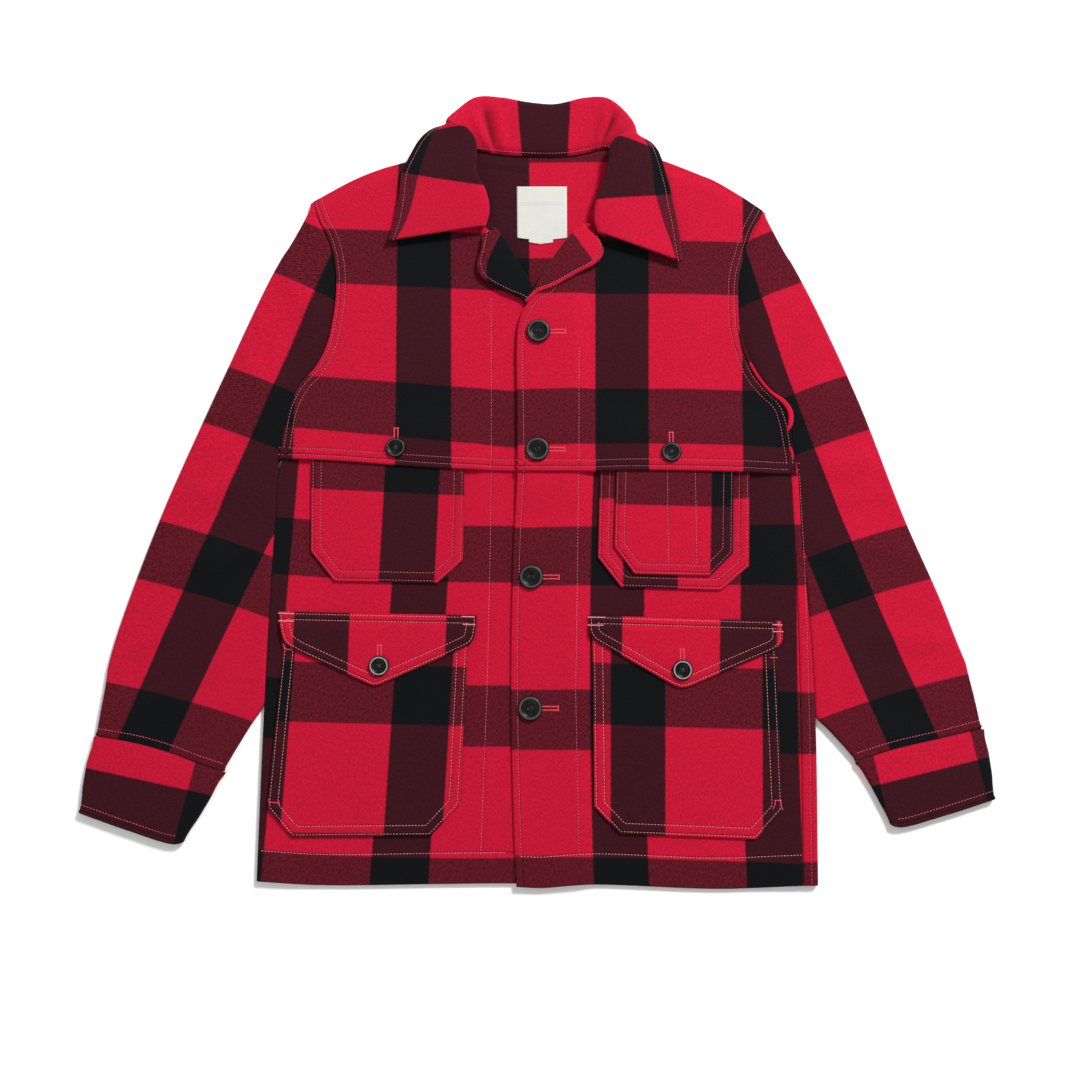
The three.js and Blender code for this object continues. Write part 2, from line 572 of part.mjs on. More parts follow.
// Sleeve from the armhole seam to the cuff seam. Its inner fold lies beside the body's side
// edge down to the point where the sleeve swings away to the wrist.
function makeSleeve(name, armhole, outerPoints, cuffSeam, bodySide, out) {
  const seam = shifted(through(armhole), -out * SLEEVE_CLEAR);
  const outwards = (point, distance) => point.setX(point.x - out * distance);
  const upper = (t) => outwards(seam(t), UNDERARM_CLEAR * ease(0.88, 1, t));
  const side = through(bodySide);
  const beside = (t) => outwards(side(blend(UNDERARM_AT[out], SWING_AT, t)), BESIDE_BODY);
  const swing = through([[beside(1).x, beside(1).y], cuffSeam.at(-1)]);
  const shoulder = upper(0);
  const top = (s, across) => {
    return SLEEVE_TOP_Z + SLEEVE_PUFF * Math.sin(Math.PI * across) * Math.sin(Math.PI * s);
  };
  const fold = chain([[beside, 7], [swing, 2]]);
  const parts = {
    upper,
    lower: through(cuffSeam),
    outer: through([[shoulder.x, shoulder.y], ...outerPoints.slice(0, -1), cuffSeam[0]]),
    inner: (s) => fold(s ** FOLD_PACE),
  };
  const shape = {
    sections: SLEEVE_SECTIONS,
    steps: ARMHOLE_STEPS,
    wall: CLOTH,
    topZ: top,
    upperDecay: ARMHOLE_DECAY,
  };
  addPiece(name, flatTube(parts, shape), RED_WOOL);
}

function makeCuff(name, outer, hem, inner) {
  const seam = through([outer[0], inner[0]]);
  const parts = {
    upper: (t) => seam(t).add(new THREE.Vector3(0, -CUFF_CLEAR, 0)),
    lower: through(hem),
    outer: through(outer),
    inner: through(inner),
  };
  const shape = { sections: 3, steps: 7, wall: CUFF_WALL, topZ: () => CUFF_TOP_Z, upperDecay: 1 };
  addPiece(name, flatTube(parts, shape), WINE_WOOL);
}

// Smooth runs of the neck seam, the roll line and the free edge through a table's rows
function sectionRuns(rows) {
  return [0, 3, 6].map((column) => {
    const points = rows.map((row) => new THREE.Vector3(...row.slice(column, column + 3)));
    return new THREE.CatmullRomCurve3(points, false, 'centripetal');
  });
}

// One section of cloth that rises from a seam, rolls over and lies down to its free edge
function rolledSection(seam, roll, edge, steps, lowest) {
  const up = roll.clone().sub(seam);
  const down = edge.clone().sub(roll);
  const turn = up.clone().normalize().add(down.clone().normalize()).normalize();
  const handle = THREE.MathUtils.clamp(0.35 * Math.min(up.length(), down.length()), 2.4, 5);
  const upNear = roll.clone().addScaledVector(up, -Math.min(0.7, 15 / up.length()));
  const downNear = roll.clone().addScaledVector(down, Math.min(0.6, 15 / down.length()));
  upNear.z += 1;
  downNear.z += turn.z > 0 ? 2.5 : -0.6;
  const before = roll.clone().addScaledVector(turn, -handle);
  const after = roll.clone().addScaledVector(turn, handle);
  const rising = new THREE.CubicBezierCurve3(seam, upNear, before, roll);
  const lying = new THREE.CubicBezierCurve3(roll, after, downNear, edge);
  const points = [];
  for (let k = 0; k <= steps; k += 1) points.push(rising.getPoint(k / steps));
  for (let k = 1; k <= steps; k += 1) points.push(lying.getPoint(k / steps));
  for (const point of points) point.z = Math.max(point.z, lowest);
  return points;
}

function rolledCloth(rows, sections, steps, wall) {
  const runs = sectionRuns(rows);
  const lowest = wall / 2 + 0.02;
  const grid = [];
  for (let k = 0; k <= sections; k += 1) {
    const [seam, roll, edge] = runs.map((run) => run.getPoint(k / sections));
    grid.push(rolledSection(seam, roll, edge, steps, lowest));
  }
  return clothWall(grid, wall);
}

function makePockets() {
  for (const [name, { top, x, level, side, corners }] of Object.entries(POCKETS)) {
    const [first, second, third, fourth] = corners;
    const sides = {
      bottom: chain([
        [through([first, second]), 1],
        [through([second, third]), 5],
        [through([third, fourth]), 1],
      ]),
      top: through([[x[0], top], [x[1], top]]),
      left: through([first, [x[0], top]]),
      right: through([fourth, [x[1], top]]),
    };
    const height = (px, py) => frontZ(side)(px, py) + level * LAY;
    addPiece(name, clothWall(patchRows(sides, 7, 7, height), CLOTH), RED_WOOL);
  }
}

function makeFlaps() {
  for (const [name, { side, sewn, free }] of Object.entries(FLAPS)) {
    const counts = [2, 3, 3, 2];
    const sides = {
      bottom: chain(free.map((run, k) => [through(run), counts[k]])),
      top: through(sewn),
      left: through([free[0][0], sewn[0]]),
      right: through([free.at(-1).at(-1), sewn[1]]),
    };
    addPiece(name, clothWall(patchRows(sides, 10, 4, flapZ(side)), CLOTH), RED_WOOL);
  }
}

// Four-hole button with a raised rim, standing on z = 0
function buttonGeometry(diameter) {
  const r = diameter / 2;
  const profile = [[0, 0], [0.68 * r, 0], [0.94 * r, 0.7], [r, 2.1], [0.93 * r, 3.4], [0.8 * r, 3.9],
    [0.66 * r, 3.4], [0.56 * r, 2.8], [0, 2.6]];
  const outline = profile.map(([x, y]) => new THREE.Vector2(x, y));
  const body = new THREE.LatheGeometry(outline, BUTTON_SIDES).rotateX(Math.PI / 2);
  body.deleteAttribute('normal');
  body.deleteAttribute('uv');
  let solid = solidOf(turnedOutward(mergeVertices(body, 1e-4)));
  for (const [sx, sy] of [[1, 1], [1, -1], [-1, 1], [-1, -1]]) {
    const hole = new THREE.CylinderGeometry(HOLE_RADIUS, HOLE_RADIUS, 8, 6);
    hole.rotateX(Math.PI / 2);
    hole.translate(sx * HOLE_OFFSET, sy * HOLE_OFFSET, 1.5);
    solid = solid.subtract(solidOf(hole));
  }
  return geometryOf(solid);
}

// Buttons lie on the cloth below them, clear of its highest point under their rim
function makeButtons() {
  const rows = [
    ['front_button_1', FRONT_BUTTON, 1, 148, yokeLeftZ],
    ['front_button_2', FRONT_BUTTON, 0, 26, yokeLeftZ],
    ['front_button_3', FRONT_BUTTON, -6, -102, frontLeftZ],
    ['front_button_4', FRONT_BUTTON, -7, -231, frontLeftZ],
    ['yoke_button_right', SMALL_BUTTON, -142, 28, yokeRightZ],
    ['yoke_button_left', SMALL_BUTTON, 134, 23, yokeLeftZ],
    ['flap_button_right', SMALL_BUTTON, -155, -190, flapZ('right')],
    ['flap_button_left', SMALL_BUTTON, 142, -194, flapZ('left')],
  ];
  const under = [[0, 0], [0.5, 0], [-0.5, 0], [0, 0.5], [0, -0.5]];
  for (const [name, diameter, x, y, height] of rows) {
    const heights = under.map(([dx, dy]) => height(x + dx * diameter, y + dy * diameter));
    const highest = Math.max(...heights);
    const button = addPiece(name, buttonGeometry(diameter), BLACK_BUTTON);
    button.position.set(x, y, highest + CLOTH / 2 + GAP);
  }
}

makeBack();
makeFrontRight();
makeFrontLeft();
makeYokes();
makeSleeve('sleeve_right', ARMHOLE_RIGHT, SLEEVE_OUTER_RIGHT, CUFF_SEAM_RIGHT, SIDE_RIGHT, 1);
makeSleeve('sleeve_left', ARMHOLE_LEFT, SLEEVE_OUTER_LEFT, CUFF_SEAM_LEFT, SIDE_LEFT, -1);
makeCuff('cuff_right', CUFF_OUTER_RIGHT, CUFF_HEM_RIGHT, CUFF_INNER_RIGHT);
makeCuff('cuff_left', CUFF_OUTER_LEFT, CUFF_HEM_LEFT, CUFF_INNER_LEFT);
addPiece('collar', rolledCloth(COLLAR, 33, 5, DOUBLED), WINE_WOOL);
addPiece('lapel_right', rolledCloth(LAPEL_RIGHT, 7, 5, CLOTH), FACING_WOOL);
addPiece('lapel_left', rolledCloth(LAPEL_LEFT, 7, 5, CLOTH), FACING_WOOL);
makePockets();
makeFlaps();
makeButtons();
const labelOutline = LABEL.map(([x, y]) => new THREE.Vector3(x, y, 0));
addPiece('neck_label', flatPlate(labelOutline, CLOTH + GAP, LABEL_WALL), WHITE_LABEL);

export default jacket;
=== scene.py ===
import logging
import math
from dataclasses import dataclass, field
from enum import Enum
from typing import Callable, Optional, Sequence

import bmesh
import bpy
import numpy as np
from mathutils import Matrix, Vector


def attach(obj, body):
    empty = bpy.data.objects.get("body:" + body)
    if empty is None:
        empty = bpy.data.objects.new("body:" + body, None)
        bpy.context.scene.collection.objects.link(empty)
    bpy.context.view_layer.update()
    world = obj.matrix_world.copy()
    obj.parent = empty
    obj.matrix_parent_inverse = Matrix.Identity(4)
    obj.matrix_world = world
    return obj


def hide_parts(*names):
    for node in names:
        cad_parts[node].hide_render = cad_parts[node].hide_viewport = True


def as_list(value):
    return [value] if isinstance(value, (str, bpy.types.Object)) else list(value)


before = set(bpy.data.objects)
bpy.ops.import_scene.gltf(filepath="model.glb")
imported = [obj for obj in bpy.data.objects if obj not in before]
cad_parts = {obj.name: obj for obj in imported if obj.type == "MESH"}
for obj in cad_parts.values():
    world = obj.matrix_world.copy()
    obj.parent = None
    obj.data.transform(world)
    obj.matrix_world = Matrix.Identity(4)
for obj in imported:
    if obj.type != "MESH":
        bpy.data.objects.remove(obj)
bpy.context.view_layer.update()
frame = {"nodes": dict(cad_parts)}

# Mackinaw jacket in heavy checked wool, laid flat on its back. The numbers below are
# millimetres in the row frame unless a name says otherwise; meshes are written in metres.

log = logging.getLogger("mackinaw")

MM = 0.001

# Thickness of each cloth, and the room between two that lie on each other
CLOTH = 2.0
DOUBLED = 2.6
CUFF_WALL = 2.4
LABEL_WALL = 1.0
GAP = 0.3
PLY = CLOTH + GAP
LAY = CLOTH + 2 * GAP

# Middle of each layer above the surface, and how the side edges and the sleeves swell
BACK_Z = CLOTH / 2
FRONT_Z = BACK_Z + PLY
EDGE_PUFF = 2.2
PUFF_REACH = 70
ROLL_RADIUS = (FRONT_Z + EDGE_PUFF - BACK_Z) / 2
ROLL_INSET = ROLL_RADIUS + CLOTH / 2
SLEEVE_TOP_Z = FRONT_Z + LAY
SLEEVE_PUFF = 0.9
CUFF_TOP_Z = SLEEVE_TOP_Z + 0.6
SHOULDER_DROP = 2.1
SHOULDER_REACH = 16

# Places on the body, and how far the pieces stay clear of each other
SIDE_TAIL = 6
SLEEVE_CLEAR = 0.9
UNDERARM_CLEAR = 0.3
CUFF_CLEAR = 1.6
SWING_AT = 0.4
LAP_X = (58.0, 38.0)
UNDERLAP_X = 28
FRONT_TOP_Y = 24.0
POCKET_TOP_Y = 18.0
HIP_TOP_Y = -160.0
NECK_TURN = 5.0

# The check's repeat, the share of it that is dark, and a band number that stays plain
CHECK_REPEAT = 150.0
DARK_SHARE = 0.365
PLAIN = 0.68

# Rows of stitches, measured in from their edges
EDGE_ROW = 6.5
OUTER_ROW = 2.2
SEAM_STRIP_ROW = 8.6

Points = Sequence[Sequence[float]]
Height = Callable[[np.ndarray, np.ndarray], np.ndarray]
RunLike = Callable[[np.ndarray], np.ndarray]

# Outlines seen from above
SIDE_RIGHT = ((-270, -396), (-268, -250), (-265, -124), (-262, -44), (-260, 6), (-254, 24))
SIDE_LEFT = ((270, -400), (272, -232), (267, -114), (264.5, -90), (262, 2))
SIDE_SEAM_LEFT = ((255, -400), (257, -250), (257, -124), (254, 2))
HEM_RIGHT = ((-270, -396), (-210, -399.5), (-96, -398.5), (-20, -398), (28, -400))
HEM_LEFT = ((-20, -401), (3, -402), (50, -399), (174, -403), (255, -400))
HEM_BACK = ((-260.4, -396), (-96, -398), (50, -398), (174, -402), (266.5, -400))
ARMHOLE_RIGHT = ((-232, 289), (-226, 271), (-214, 246), (-208, 223), (-206, 192), (-209, 160),
                 (-215, 133), (-226, 111), (-240, 95), (-251, 73), (-256, 47), (-259, 17))
ARMHOLE_LEFT = ((233, 279), (220, 254), (212, 229), (206, 207), (205, 180), (206, 152), (212, 128),
                (220, 106), (233, 89), (246, 76), (253, 58), (257, 32), (261, 1))
YOKE_EDGE_RIGHT = ((-259, 17), (-203, 15), (-148, 11), (-85, 7), (28, 3))
YOKE_EDGE_LEFT = ((-20, 4), (57, 4), (113, 5), (208, 3), (261, 1))
SHOULDER_RIGHT = ((-232, 289), (-190, 313), (-164, 324), (-141, 331), (-108, 339), (-78, 345))
SHOULDER_LEFT = ((84, 346), (108, 341), (135, 332), (169, 318), (183, 312), (215, 292), (233, 279))
NECK_RIGHT = ((-78, 345), (-77, 330), (-72, 313), (-64, 291), (-62, 272), (-58, 264))
NECK_LEFT = ((66, 266), (70, 284), (78, 306), (84, 324), (86, 337), (84, 346))
NECK_BACK = ((-78, 345), (-60, 347), (-46, 345.5), (-18, 342.5), (8, 341), (34, 342.5),
             (58, 347.5), (84, 346))
ROLL_EDGE_RIGHT = ((-58, 264), (-48.5, 256), (-39, 241), (-29, 223), (-13, 193))
ROLL_EDGE_LEFT = ((11, 195), (17.5, 206), (28.5, 223), (40.5, 240), (51.5, 253), (66, 266))
FRONT_EDGE_LEFT = ((-20, -401), (-22, -366), (-26, -213), (-24, -75), (-20, 6), (-20, 24))
YOKE_FRONT_LEFT = ((-20, 4), (-20.5, 72), (-21, 139), (-19, 157), (-15, 169), (-8, 181), (1, 190),
                   (11, 195))
SLEEVE_OUTER_RIGHT = ((-240, 270), (-272, 210), (-314, 112), (-337, 57), (-377, -44), (-416, -164),
                      (-426, -212), (-432, -255))
SLEEVE_OUTER_LEFT = ((256, 233), (271, 203), (289, 164), (326, 74), (367, -44), (399, -124),
                     (413, -164), (426, -201), (435, -244))
CUFF_SEAM_RIGHT = ((-432, -257), (-388, -265), (-356, -274), (-332, -283), (-304, -292))
CUFF_SEAM_LEFT = ((435, -249), (396, -259), (348, -270), (309, -282))
CUFF_OUTER_RIGHT = ((-433, -257), (-438, -281), (-444.5, -331))
CUFF_OUTER_LEFT = ((436.5, -250), (440, -276), (444.5, -318))
CUFF_HEM_RIGHT = ((-444.5, -331), (-395, -348), (-350, -361), (-341, -359))
CUFF_HEM_LEFT = ((444.5, -318), (395, -333.5), (349, -345), (341, -342))
CUFF_INNER_RIGHT = ((-303, -292), (-318, -319), (-341, -359))
CUFF_INNER_LEFT = ((309, -282), (325, -308), (341, -342))
LABEL_OUTLINE = ((-21.5, 306), (-21, 250), (-9, 249), (-9, 245.5), (3, 243.8), (16, 245.5), (16, 249),
                 (30.5, 250), (30.5, 306))

# Collar and lapels in sections: neck seam, roll line and free edge, each as x, y, z
COLLAR_ROWS = (
    (-60, 257, 8.4, -54.5, 258, 15.0, -153, 243, 14.0),
    (-57, 276, 8.4, -50.5, 275, 15.5, -147, 263, 13.0),
    (-60, 296, 8.4, -54.0, 295, 16.0, -143, 290, 12.0),
    (-69, 318, 8.4, -64.0, 317, 16.5, -140, 318, 11.5),
    (-71, 336, 8.2, -64.0, 338, 17.0, -133, 334, 11.0),
    (-68, 344, 7.0, -66.0, 352, 18.0, -124, 351.5, 10.0),
    (-65, 345, 5.8, -74.0, 362, 19.0, -115, 361.5, 9.0),
    (-62, 345, 4.8, -86.0, 369, 18.0, -104, 367, 7.0),
    (-58, 344.5, 4.3, -92.5, 373, 15.0, -90, 363, 4.0),
    (-53, 343.5, 4.0, -81.5, 386.5, 11.0, -78, 365, 2.2),
    (-46, 342, 3.8, -64.0, 401, 7.0, -60, 371, 1.6),
    (-30, 340, 3.8, -38.0, 401.5, 4.8, -36, 371, 1.5),
    (-6, 338.5, 3.8, -10.0, 396.5, 4.4, -8, 369, 1.5),
    (20, 338.2, 3.8, 18.0, 394.5, 4.4, 16, 367, 1.5),
    (42, 340.5, 3.8, 48.0, 401, 4.8, 46, 371, 1.5),
    (56, 344, 3.8, 71.0, 400.5, 7.0, 68, 371, 1.6),
    (65, 346.5, 4.0, 88.0, 386, 11.0, 85, 364, 2.2),
    (70, 347.5, 4.3, 99.5, 365.5, 15.0, 97, 354, 4.0),
    (74, 348, 4.8, 95.0, 357.5, 18.0, 115, 352.5, 7.0),
    (77, 346, 5.8, 84.0, 353, 19.0, 124, 343, 9.0),
    (80, 338, 7.2, 76.0, 342, 18.0, 129, 331, 10.0),
    (80, 323, 8.2, 73.5, 325, 17.0, 133, 316, 10.5),
    (75, 307, 8.4, 69.0, 308, 16.5, 136.5, 303, 11.0),
    (67, 288, 8.4, 62.0, 288, 16.0, 140, 282, 12.0),
    (65, 266, 8.9, 59.0, 266, 15.5, 144, 260, 13.0),
    (69, 249, 9.3, 63.0, 251, 15.2, 149, 220, 14.0),
)
LAPEL_RIGHT_ROWS = (
    (-3, 186, 7.7, 1.0, 185, 8.0, -10, 174, 7.9),
    (-11.2, 194, 6.0, -4, 192, 8.4, -16, 182, 9.9),
    (-17.3, 206, 6.0, -10, 204, 9.3, -36, 191.5, 10.8),
    (-27.4, 223, 6.0, -20, 221, 9.8, -58, 206, 11.2),
    (-37.4, 241, 6.0, -30, 239, 10.2, -62, 217, 11.6),
    (-45.8, 255, 6.0, -39, 252, 10.2, -58, 234, 12.0),
    (-49.5, 261, 6.0, -44, 258, 10.2, -55.5, 250, 12.2),
)
LAPEL_LEFT_ROWS = (
    (-10, 182, 10.4, -11.5, 181, 10.7, -11.5, 178.5, 10.5),
    (-0.5, 193, 10.6, -3.0, 191.2, 11.6, 0.5, 188.5, 12.9),
    (12.9, 210, 10.8, 5, 208, 12.8, 17, 195, 13.7),
    (25.1, 226, 10.8, 17, 225, 13.8, 42, 209, 14.8),
    (37.3, 243, 10.4, 29, 242, 14.0, 62, 221, 14.4),
    (48.2, 256, 9.0, 40, 255, 13.4, 67.5, 232, 13.6),
    (55.6, 263, 8.1, 49, 261, 12.8, 63, 244, 13.0),
)


class Side(Enum):
    """The wearer's side that a piece belongs to; the value is its sign along X."""

    RIGHT = -1
    LEFT = 1


class Thread(Enum):
    """Sewing threads, with their base colour in linear RGB."""

    WINE = (0.66, 0.105, 0.165)
    PALE = (0.80, 0.26, 0.27)
    HOLE = (0.80, 0.045, 0.085)
    DARK = (0.012, 0.012, 0.014)


# Small geometry


def ease(start: float, end: float, value: np.ndarray) -> np.ndarray:
    """Soft step from 0 at start to 1 at end, in either direction."""
    t = np.clip((np.asarray(value, float) - start) / (end - start), 0, 1)
    return t * t * (3 - 2 * t)


class Run:
    """Smooth run through a row of points, read by the share of its length."""

    def __init__(self, points: Points) -> None:
        """Smooths the run.

        Args:
            points: places that the run goes through.
        """
        p = np.array(points, float)
        if len(p) > 2:
            p = self._smooth(p)
        steps = np.linalg.norm(np.diff(p, axis=0), axis=1)
        self.dense = p
        self.length = float(steps.sum())
        self.shares = np.r_[0, np.cumsum(steps)] / self.length

    @staticmethod
    def _smooth(points: np.ndarray, per_span: int = 16) -> np.ndarray:
        """Centripetal curve through the points, with a number of steps in each span.

        Args:
            points: places that the curve goes through.
            per_span: number of steps from one to the next.

        Returns:
            Places along the curve.
        """
        p = np.vstack([2 * points[0] - points[1], points, 2 * points[-1] - points[-2]])
        out = []
        for a, b, c, d in zip(p, p[1:], p[2:], p[3:]):
            da, db, dc = (max(np.linalg.norm(q - r) ** 0.5, 1e-6) for q, r in ((b, a), (c, b), (d, c)))
            m1 = ((b - a) / da - (c - a) / (da + db) + (c - b) / db) * db
            m2 = ((c - b) / db - (d - b) / (db + dc) + (d - c) / dc) * db
            t = np.linspace(0, 1, per_span, endpoint=False)[:, None]
            out.append(b + m1 * t + (3 * (c - b) - 2 * m1 - m2) * t**2 + (2 * (b - c) + m1 + m2) * t**3)
        return np.vstack([*out, points[-1:]])

    def __call__(self, t: np.ndarray) -> np.ndarray:
        """Points at shares t of the length."""
        t = np.clip(np.asarray(t, float), 0, 1)
        return np.stack([np.interp(t, self.shares, column) for column in self.dense.T], -1)


class Chain:
    """Several runs joined at corners, each with a weight along the whole."""

    def __init__(self, parts: Sequence[tuple[RunLike, float]]) -> None:
        """Joins the runs.

        Args:
            parts: the runs in turn, each with its weight.
        """
        self.parts = list(parts)
        total = sum(w for _, w in self.parts)
        self.breaks = np.r_[0, np.cumsum([w for _, w in self.parts])] / total

    def __call__(self, t: np.ndarray) -> np.ndarray:
        """Points at shares t of the whole.

        Args:
            t: shares, from 0 to 1.

        Returns:
            One place for each share.
        """
        t = np.clip(np.asarray(t, float), 0, 1)
        which = np.clip(np.searchsorted(self.breaks, t, side="right") - 1, 0, len(self.parts) - 1)
        out = np.zeros(t.shape + (2,))
        for k, (run, _) in enumerate(self.parts):
            here = which == k
            low, high = self.breaks[k], self.breaks[k + 1]
            if here.any():
                out[here] = run((t[here] - low) / (high - low))
        return out


@dataclass
class Patch:
    """Surface between four runs that share their corners, seen from above."""

    bottom: RunLike
    top: RunLike
    left: RunLike
    right: RunLike

    def grid(self, us: np.ndarray, vs: np.ndarray) -> np.ndarray:
        """Places of the patch between its four sides.

        Args:
            us: shares across.
            vs: shares up.

        Returns:
            Places as [row, column, xy].
        """
        u, v = us[None, :, None], vs[:, None, None]
        b, t = self.bottom(us)[None], self.top(us)[None]
        l, r = self.left(vs)[:, None], self.right(vs)[:, None]
        corners = ((1 - u) * (1 - v) * b[:, :1] + u * (1 - v) * b[:, -1:]
                   + (1 - u) * v * t[:, :1] + u * v * t[:, -1:])
        return (1 - v) * b + v * t + (1 - u) * l + u * r - corners


LIP = (0.0, 0.35, 0.9, 1.7)
BORDER = LIP + (2.6, 3.5, 5.0, 6.8, 8.4, 9.3, 10.1, 11.0, 12.2, 14.0)
CLOSEST = 0.25


def stations(span: float, step: float, near: Sequence[float] = LIP, breaks: Sequence[float] = (),
             both: bool = True) -> np.ndarray:
    """Shares of a side at which a grid has lines: evenly, closer beside its ends, and at corners.

    Args:
        span: length of the side.
        step: distance between the even lines.
        near: distances from an end at which further lines lie.
        breaks: shares at which the side has corners.
        both: whether the far end gets the near lines too.

    Returns:
        Sorted shares from 0 to 1.
    """
    ends = np.array(near) / span
    marks = [0, *breaks, 1]
    even = [np.linspace(a, b, max(2, round((b - a) * span / step) + 1)) for a, b in zip(marks, marks[1:])]
    shares = np.unique(np.round(np.concatenate([*even, ends, 1 - ends if both else []]), 6))
    keep = [0.0]
    fixed = set(np.round(marks, 6)) | set(np.round(ends, 6)) | (set(np.round(1 - ends, 6)) if both else set())
    for s in shares[1:]:
        if s - keep[-1] > CLOSEST / span or s in fixed:
            keep.append(s)
    return np.array(keep)


def offset_line(points: np.ndarray, distance: float) -> np.ndarray:
    """Line beside another, mitred at its corners.

    Args:
        points: the line.
        distance: how far to its left.

    Returns:
        The line beside it.
    """
    d = np.diff(points, axis=0)
    d /= np.maximum(np.linalg.norm(d, axis=1, keepdims=True), 1e-9)
    n = np.stack([-d[:, 1], d[:, 0]], 1)
    a, b = np.vstack([n[:1], n]), np.vstack([n, n[-1:]])
    mitre = (a + b) / np.maximum(1 + (a * b).sum(1, keepdims=True), 0.35)
    return points + mitre * distance


def distance_to(line: np.ndarray, xy: np.ndarray) -> np.ndarray:
    """Distance from each of many points to a line of many spans.

    Args:
        line: the line's places.
        xy: the points.

    Returns:
        One distance for each point.
    """
    flat = xy.reshape(-1, 2)
    best = np.full(len(flat), 1e9)
    for a, b in zip(line[:-1], line[1:]):
        ab = b - a
        t = np.clip((flat - a) @ ab / max(ab @ ab, 1e-9), 0, 1)
        best = np.minimum(best, np.hypot(*(flat - a - t[:, None] * ab).T))
    return best.reshape(xy.shape[:-1])


def thinned(points: np.ndarray, step: float) -> np.ndarray:
    """The same line with points about a step apart.

    Args:
        points: the line.
        step: distance between the new places.

    Returns:
        The line with places that far apart.
    """
    run = np.r_[0, np.cumsum(np.linalg.norm(np.diff(points, axis=0), axis=1))]
    places = np.linspace(0, run[-1], max(2, round(run[-1] / step) + 1))
    return np.stack([np.interp(places, run, column) for column in points.T], 1)


def dent(distance: np.ndarray, width: float, depth: float = 1.0) -> np.ndarray:
    """Soft dent, as deep as stated where the distance is nought."""
    return depth * np.exp(-((distance / width) ** 2))


def at(height: "Height", xy: np.ndarray) -> np.ndarray:
    """Heights at many places."""
    return height(xy[..., 0], xy[..., 1])


def level(z: float) -> "Height":
    """The same height everywhere."""
    return lambda x, y: np.full(np.shape(x), z)


def upright(xy: np.ndarray, z: np.ndarray | float) -> np.ndarray:
    """Places seen from above with their heights, along their last axis."""
    return np.concatenate([xy, np.broadcast_to(z, xy.shape[:-1])[..., None]], -1)


@dataclass(frozen=True)
class PhotoView:
    """The camera of the photograph: an upright view tilted a little towards the hem."""

    focal: float = 1300.0
    frame: float = 1080.0
    distance: float = 1300.0
    tilt: float = math.radians(8)
    aim: tuple[float, float] = (2.6, -63.9)

    def on_cloth(self, px: float, py: float, z: float = 5.0) -> tuple[float, float]:
        """Place on the cloth of a point seen in the photograph.

        Args:
            px: pixels from the picture's left edge.
            py: pixels from its upper edge.
            z: height of the place.

        Returns:
            x and y of the place.
        """
        s, c = math.sin(self.tilt), math.cos(self.tilt)
        u, v = (px - self.frame / 2) / self.focal, (self.frame / 2 - py) / self.focal
        ray = (u, v * c + s, v * s - c)
        t = (z - self.distance * c) / ray[2]
        return t * ray[0] + self.aim[0], -self.distance * s + t * ray[1] + self.aim[1]

    def line(self, points: Points, z: float = 5.0) -> np.ndarray:
        """Places of several such points."""
        return np.array([self.on_cloth(px, py, z) for px, py in points])


VIEW = PhotoView()


@dataclass(frozen=True)
class CheckLay:
    """How the check lies on one piece.

    Each mark is a place seen in the photograph and the number of the stripe or band whose edge
    is there. A dark stripe begins at a whole number and ends DARK_SHARE after it. Stripes count
    to the right and bands towards the hem. turn is the angle of the cut, in degrees.
    """

    stripes: tuple[tuple[float, float, float], ...]
    bands: tuple[tuple[float, float, float], ...]
    turn: float = 0.0
    freedom: float = 1.0
    band_stretch: float = 1.05
    reach: float = 200.0
    stiffness: tuple[float, ...] = (1e-6, 0.01, 0.01, 0.02, 0.03, 0.03)

    def numbers(self, x: np.ndarray, y: np.ndarray) -> np.ndarray:
        """Stripe and band numbers of places.

        Args:
            x: places across the jacket.
            y: places up the jacket.

        Returns:
            Stripe and band number of each place.
        """
        a = math.radians(self.turn)
        across = (math.cos(a) / CHECK_REPEAT, math.sin(a) / CHECK_REPEAT)
        tall = CHECK_REPEAT * self.band_stretch
        down = (math.sin(a) / tall, -math.cos(a) / tall)
        return np.stack([self._fit(self.stripes, across, x, y), self._fit(self.bands, down, x, y)], -1)

    def _fit(self, marks: tuple[tuple[float, float, float], ...], slope: tuple[float, float],
             x: np.ndarray, y: np.ndarray) -> np.ndarray:
        """Number that the marks ask for, bent as little as they allow.

        Args:
            marks: points of the photograph with the number that each asks for.
            slope: how the number grows with x and with y.
            x: places across the jacket.
            y: places up the jacket.

        Returns:
            One number for each place.
        """
        places = VIEW.line([m[:2] for m in marks])
        middle = places.mean(0)

        def terms(px: np.ndarray, py: np.ndarray) -> np.ndarray:
            """Plain, sloping and bent parts of the lay at places px, py."""
            u, v = (px - middle[0]) / self.reach, (py - middle[1]) / self.reach
            return np.stack([np.ones_like(u), u, v, u * v, u * u, v * v], -1)

        wanted = np.array([m[2] for m in marks]) - places @ np.array(slope)
        rows = terms(places[:, 0], places[:, 1])
        hold = np.diag(np.array(self.stiffness) / self.freedom)
        best = np.linalg.solve(rows.T @ rows + hold, rows.T @ wanted)
        return terms(x, y) @ best + x * slope[0] + y * slope[1]


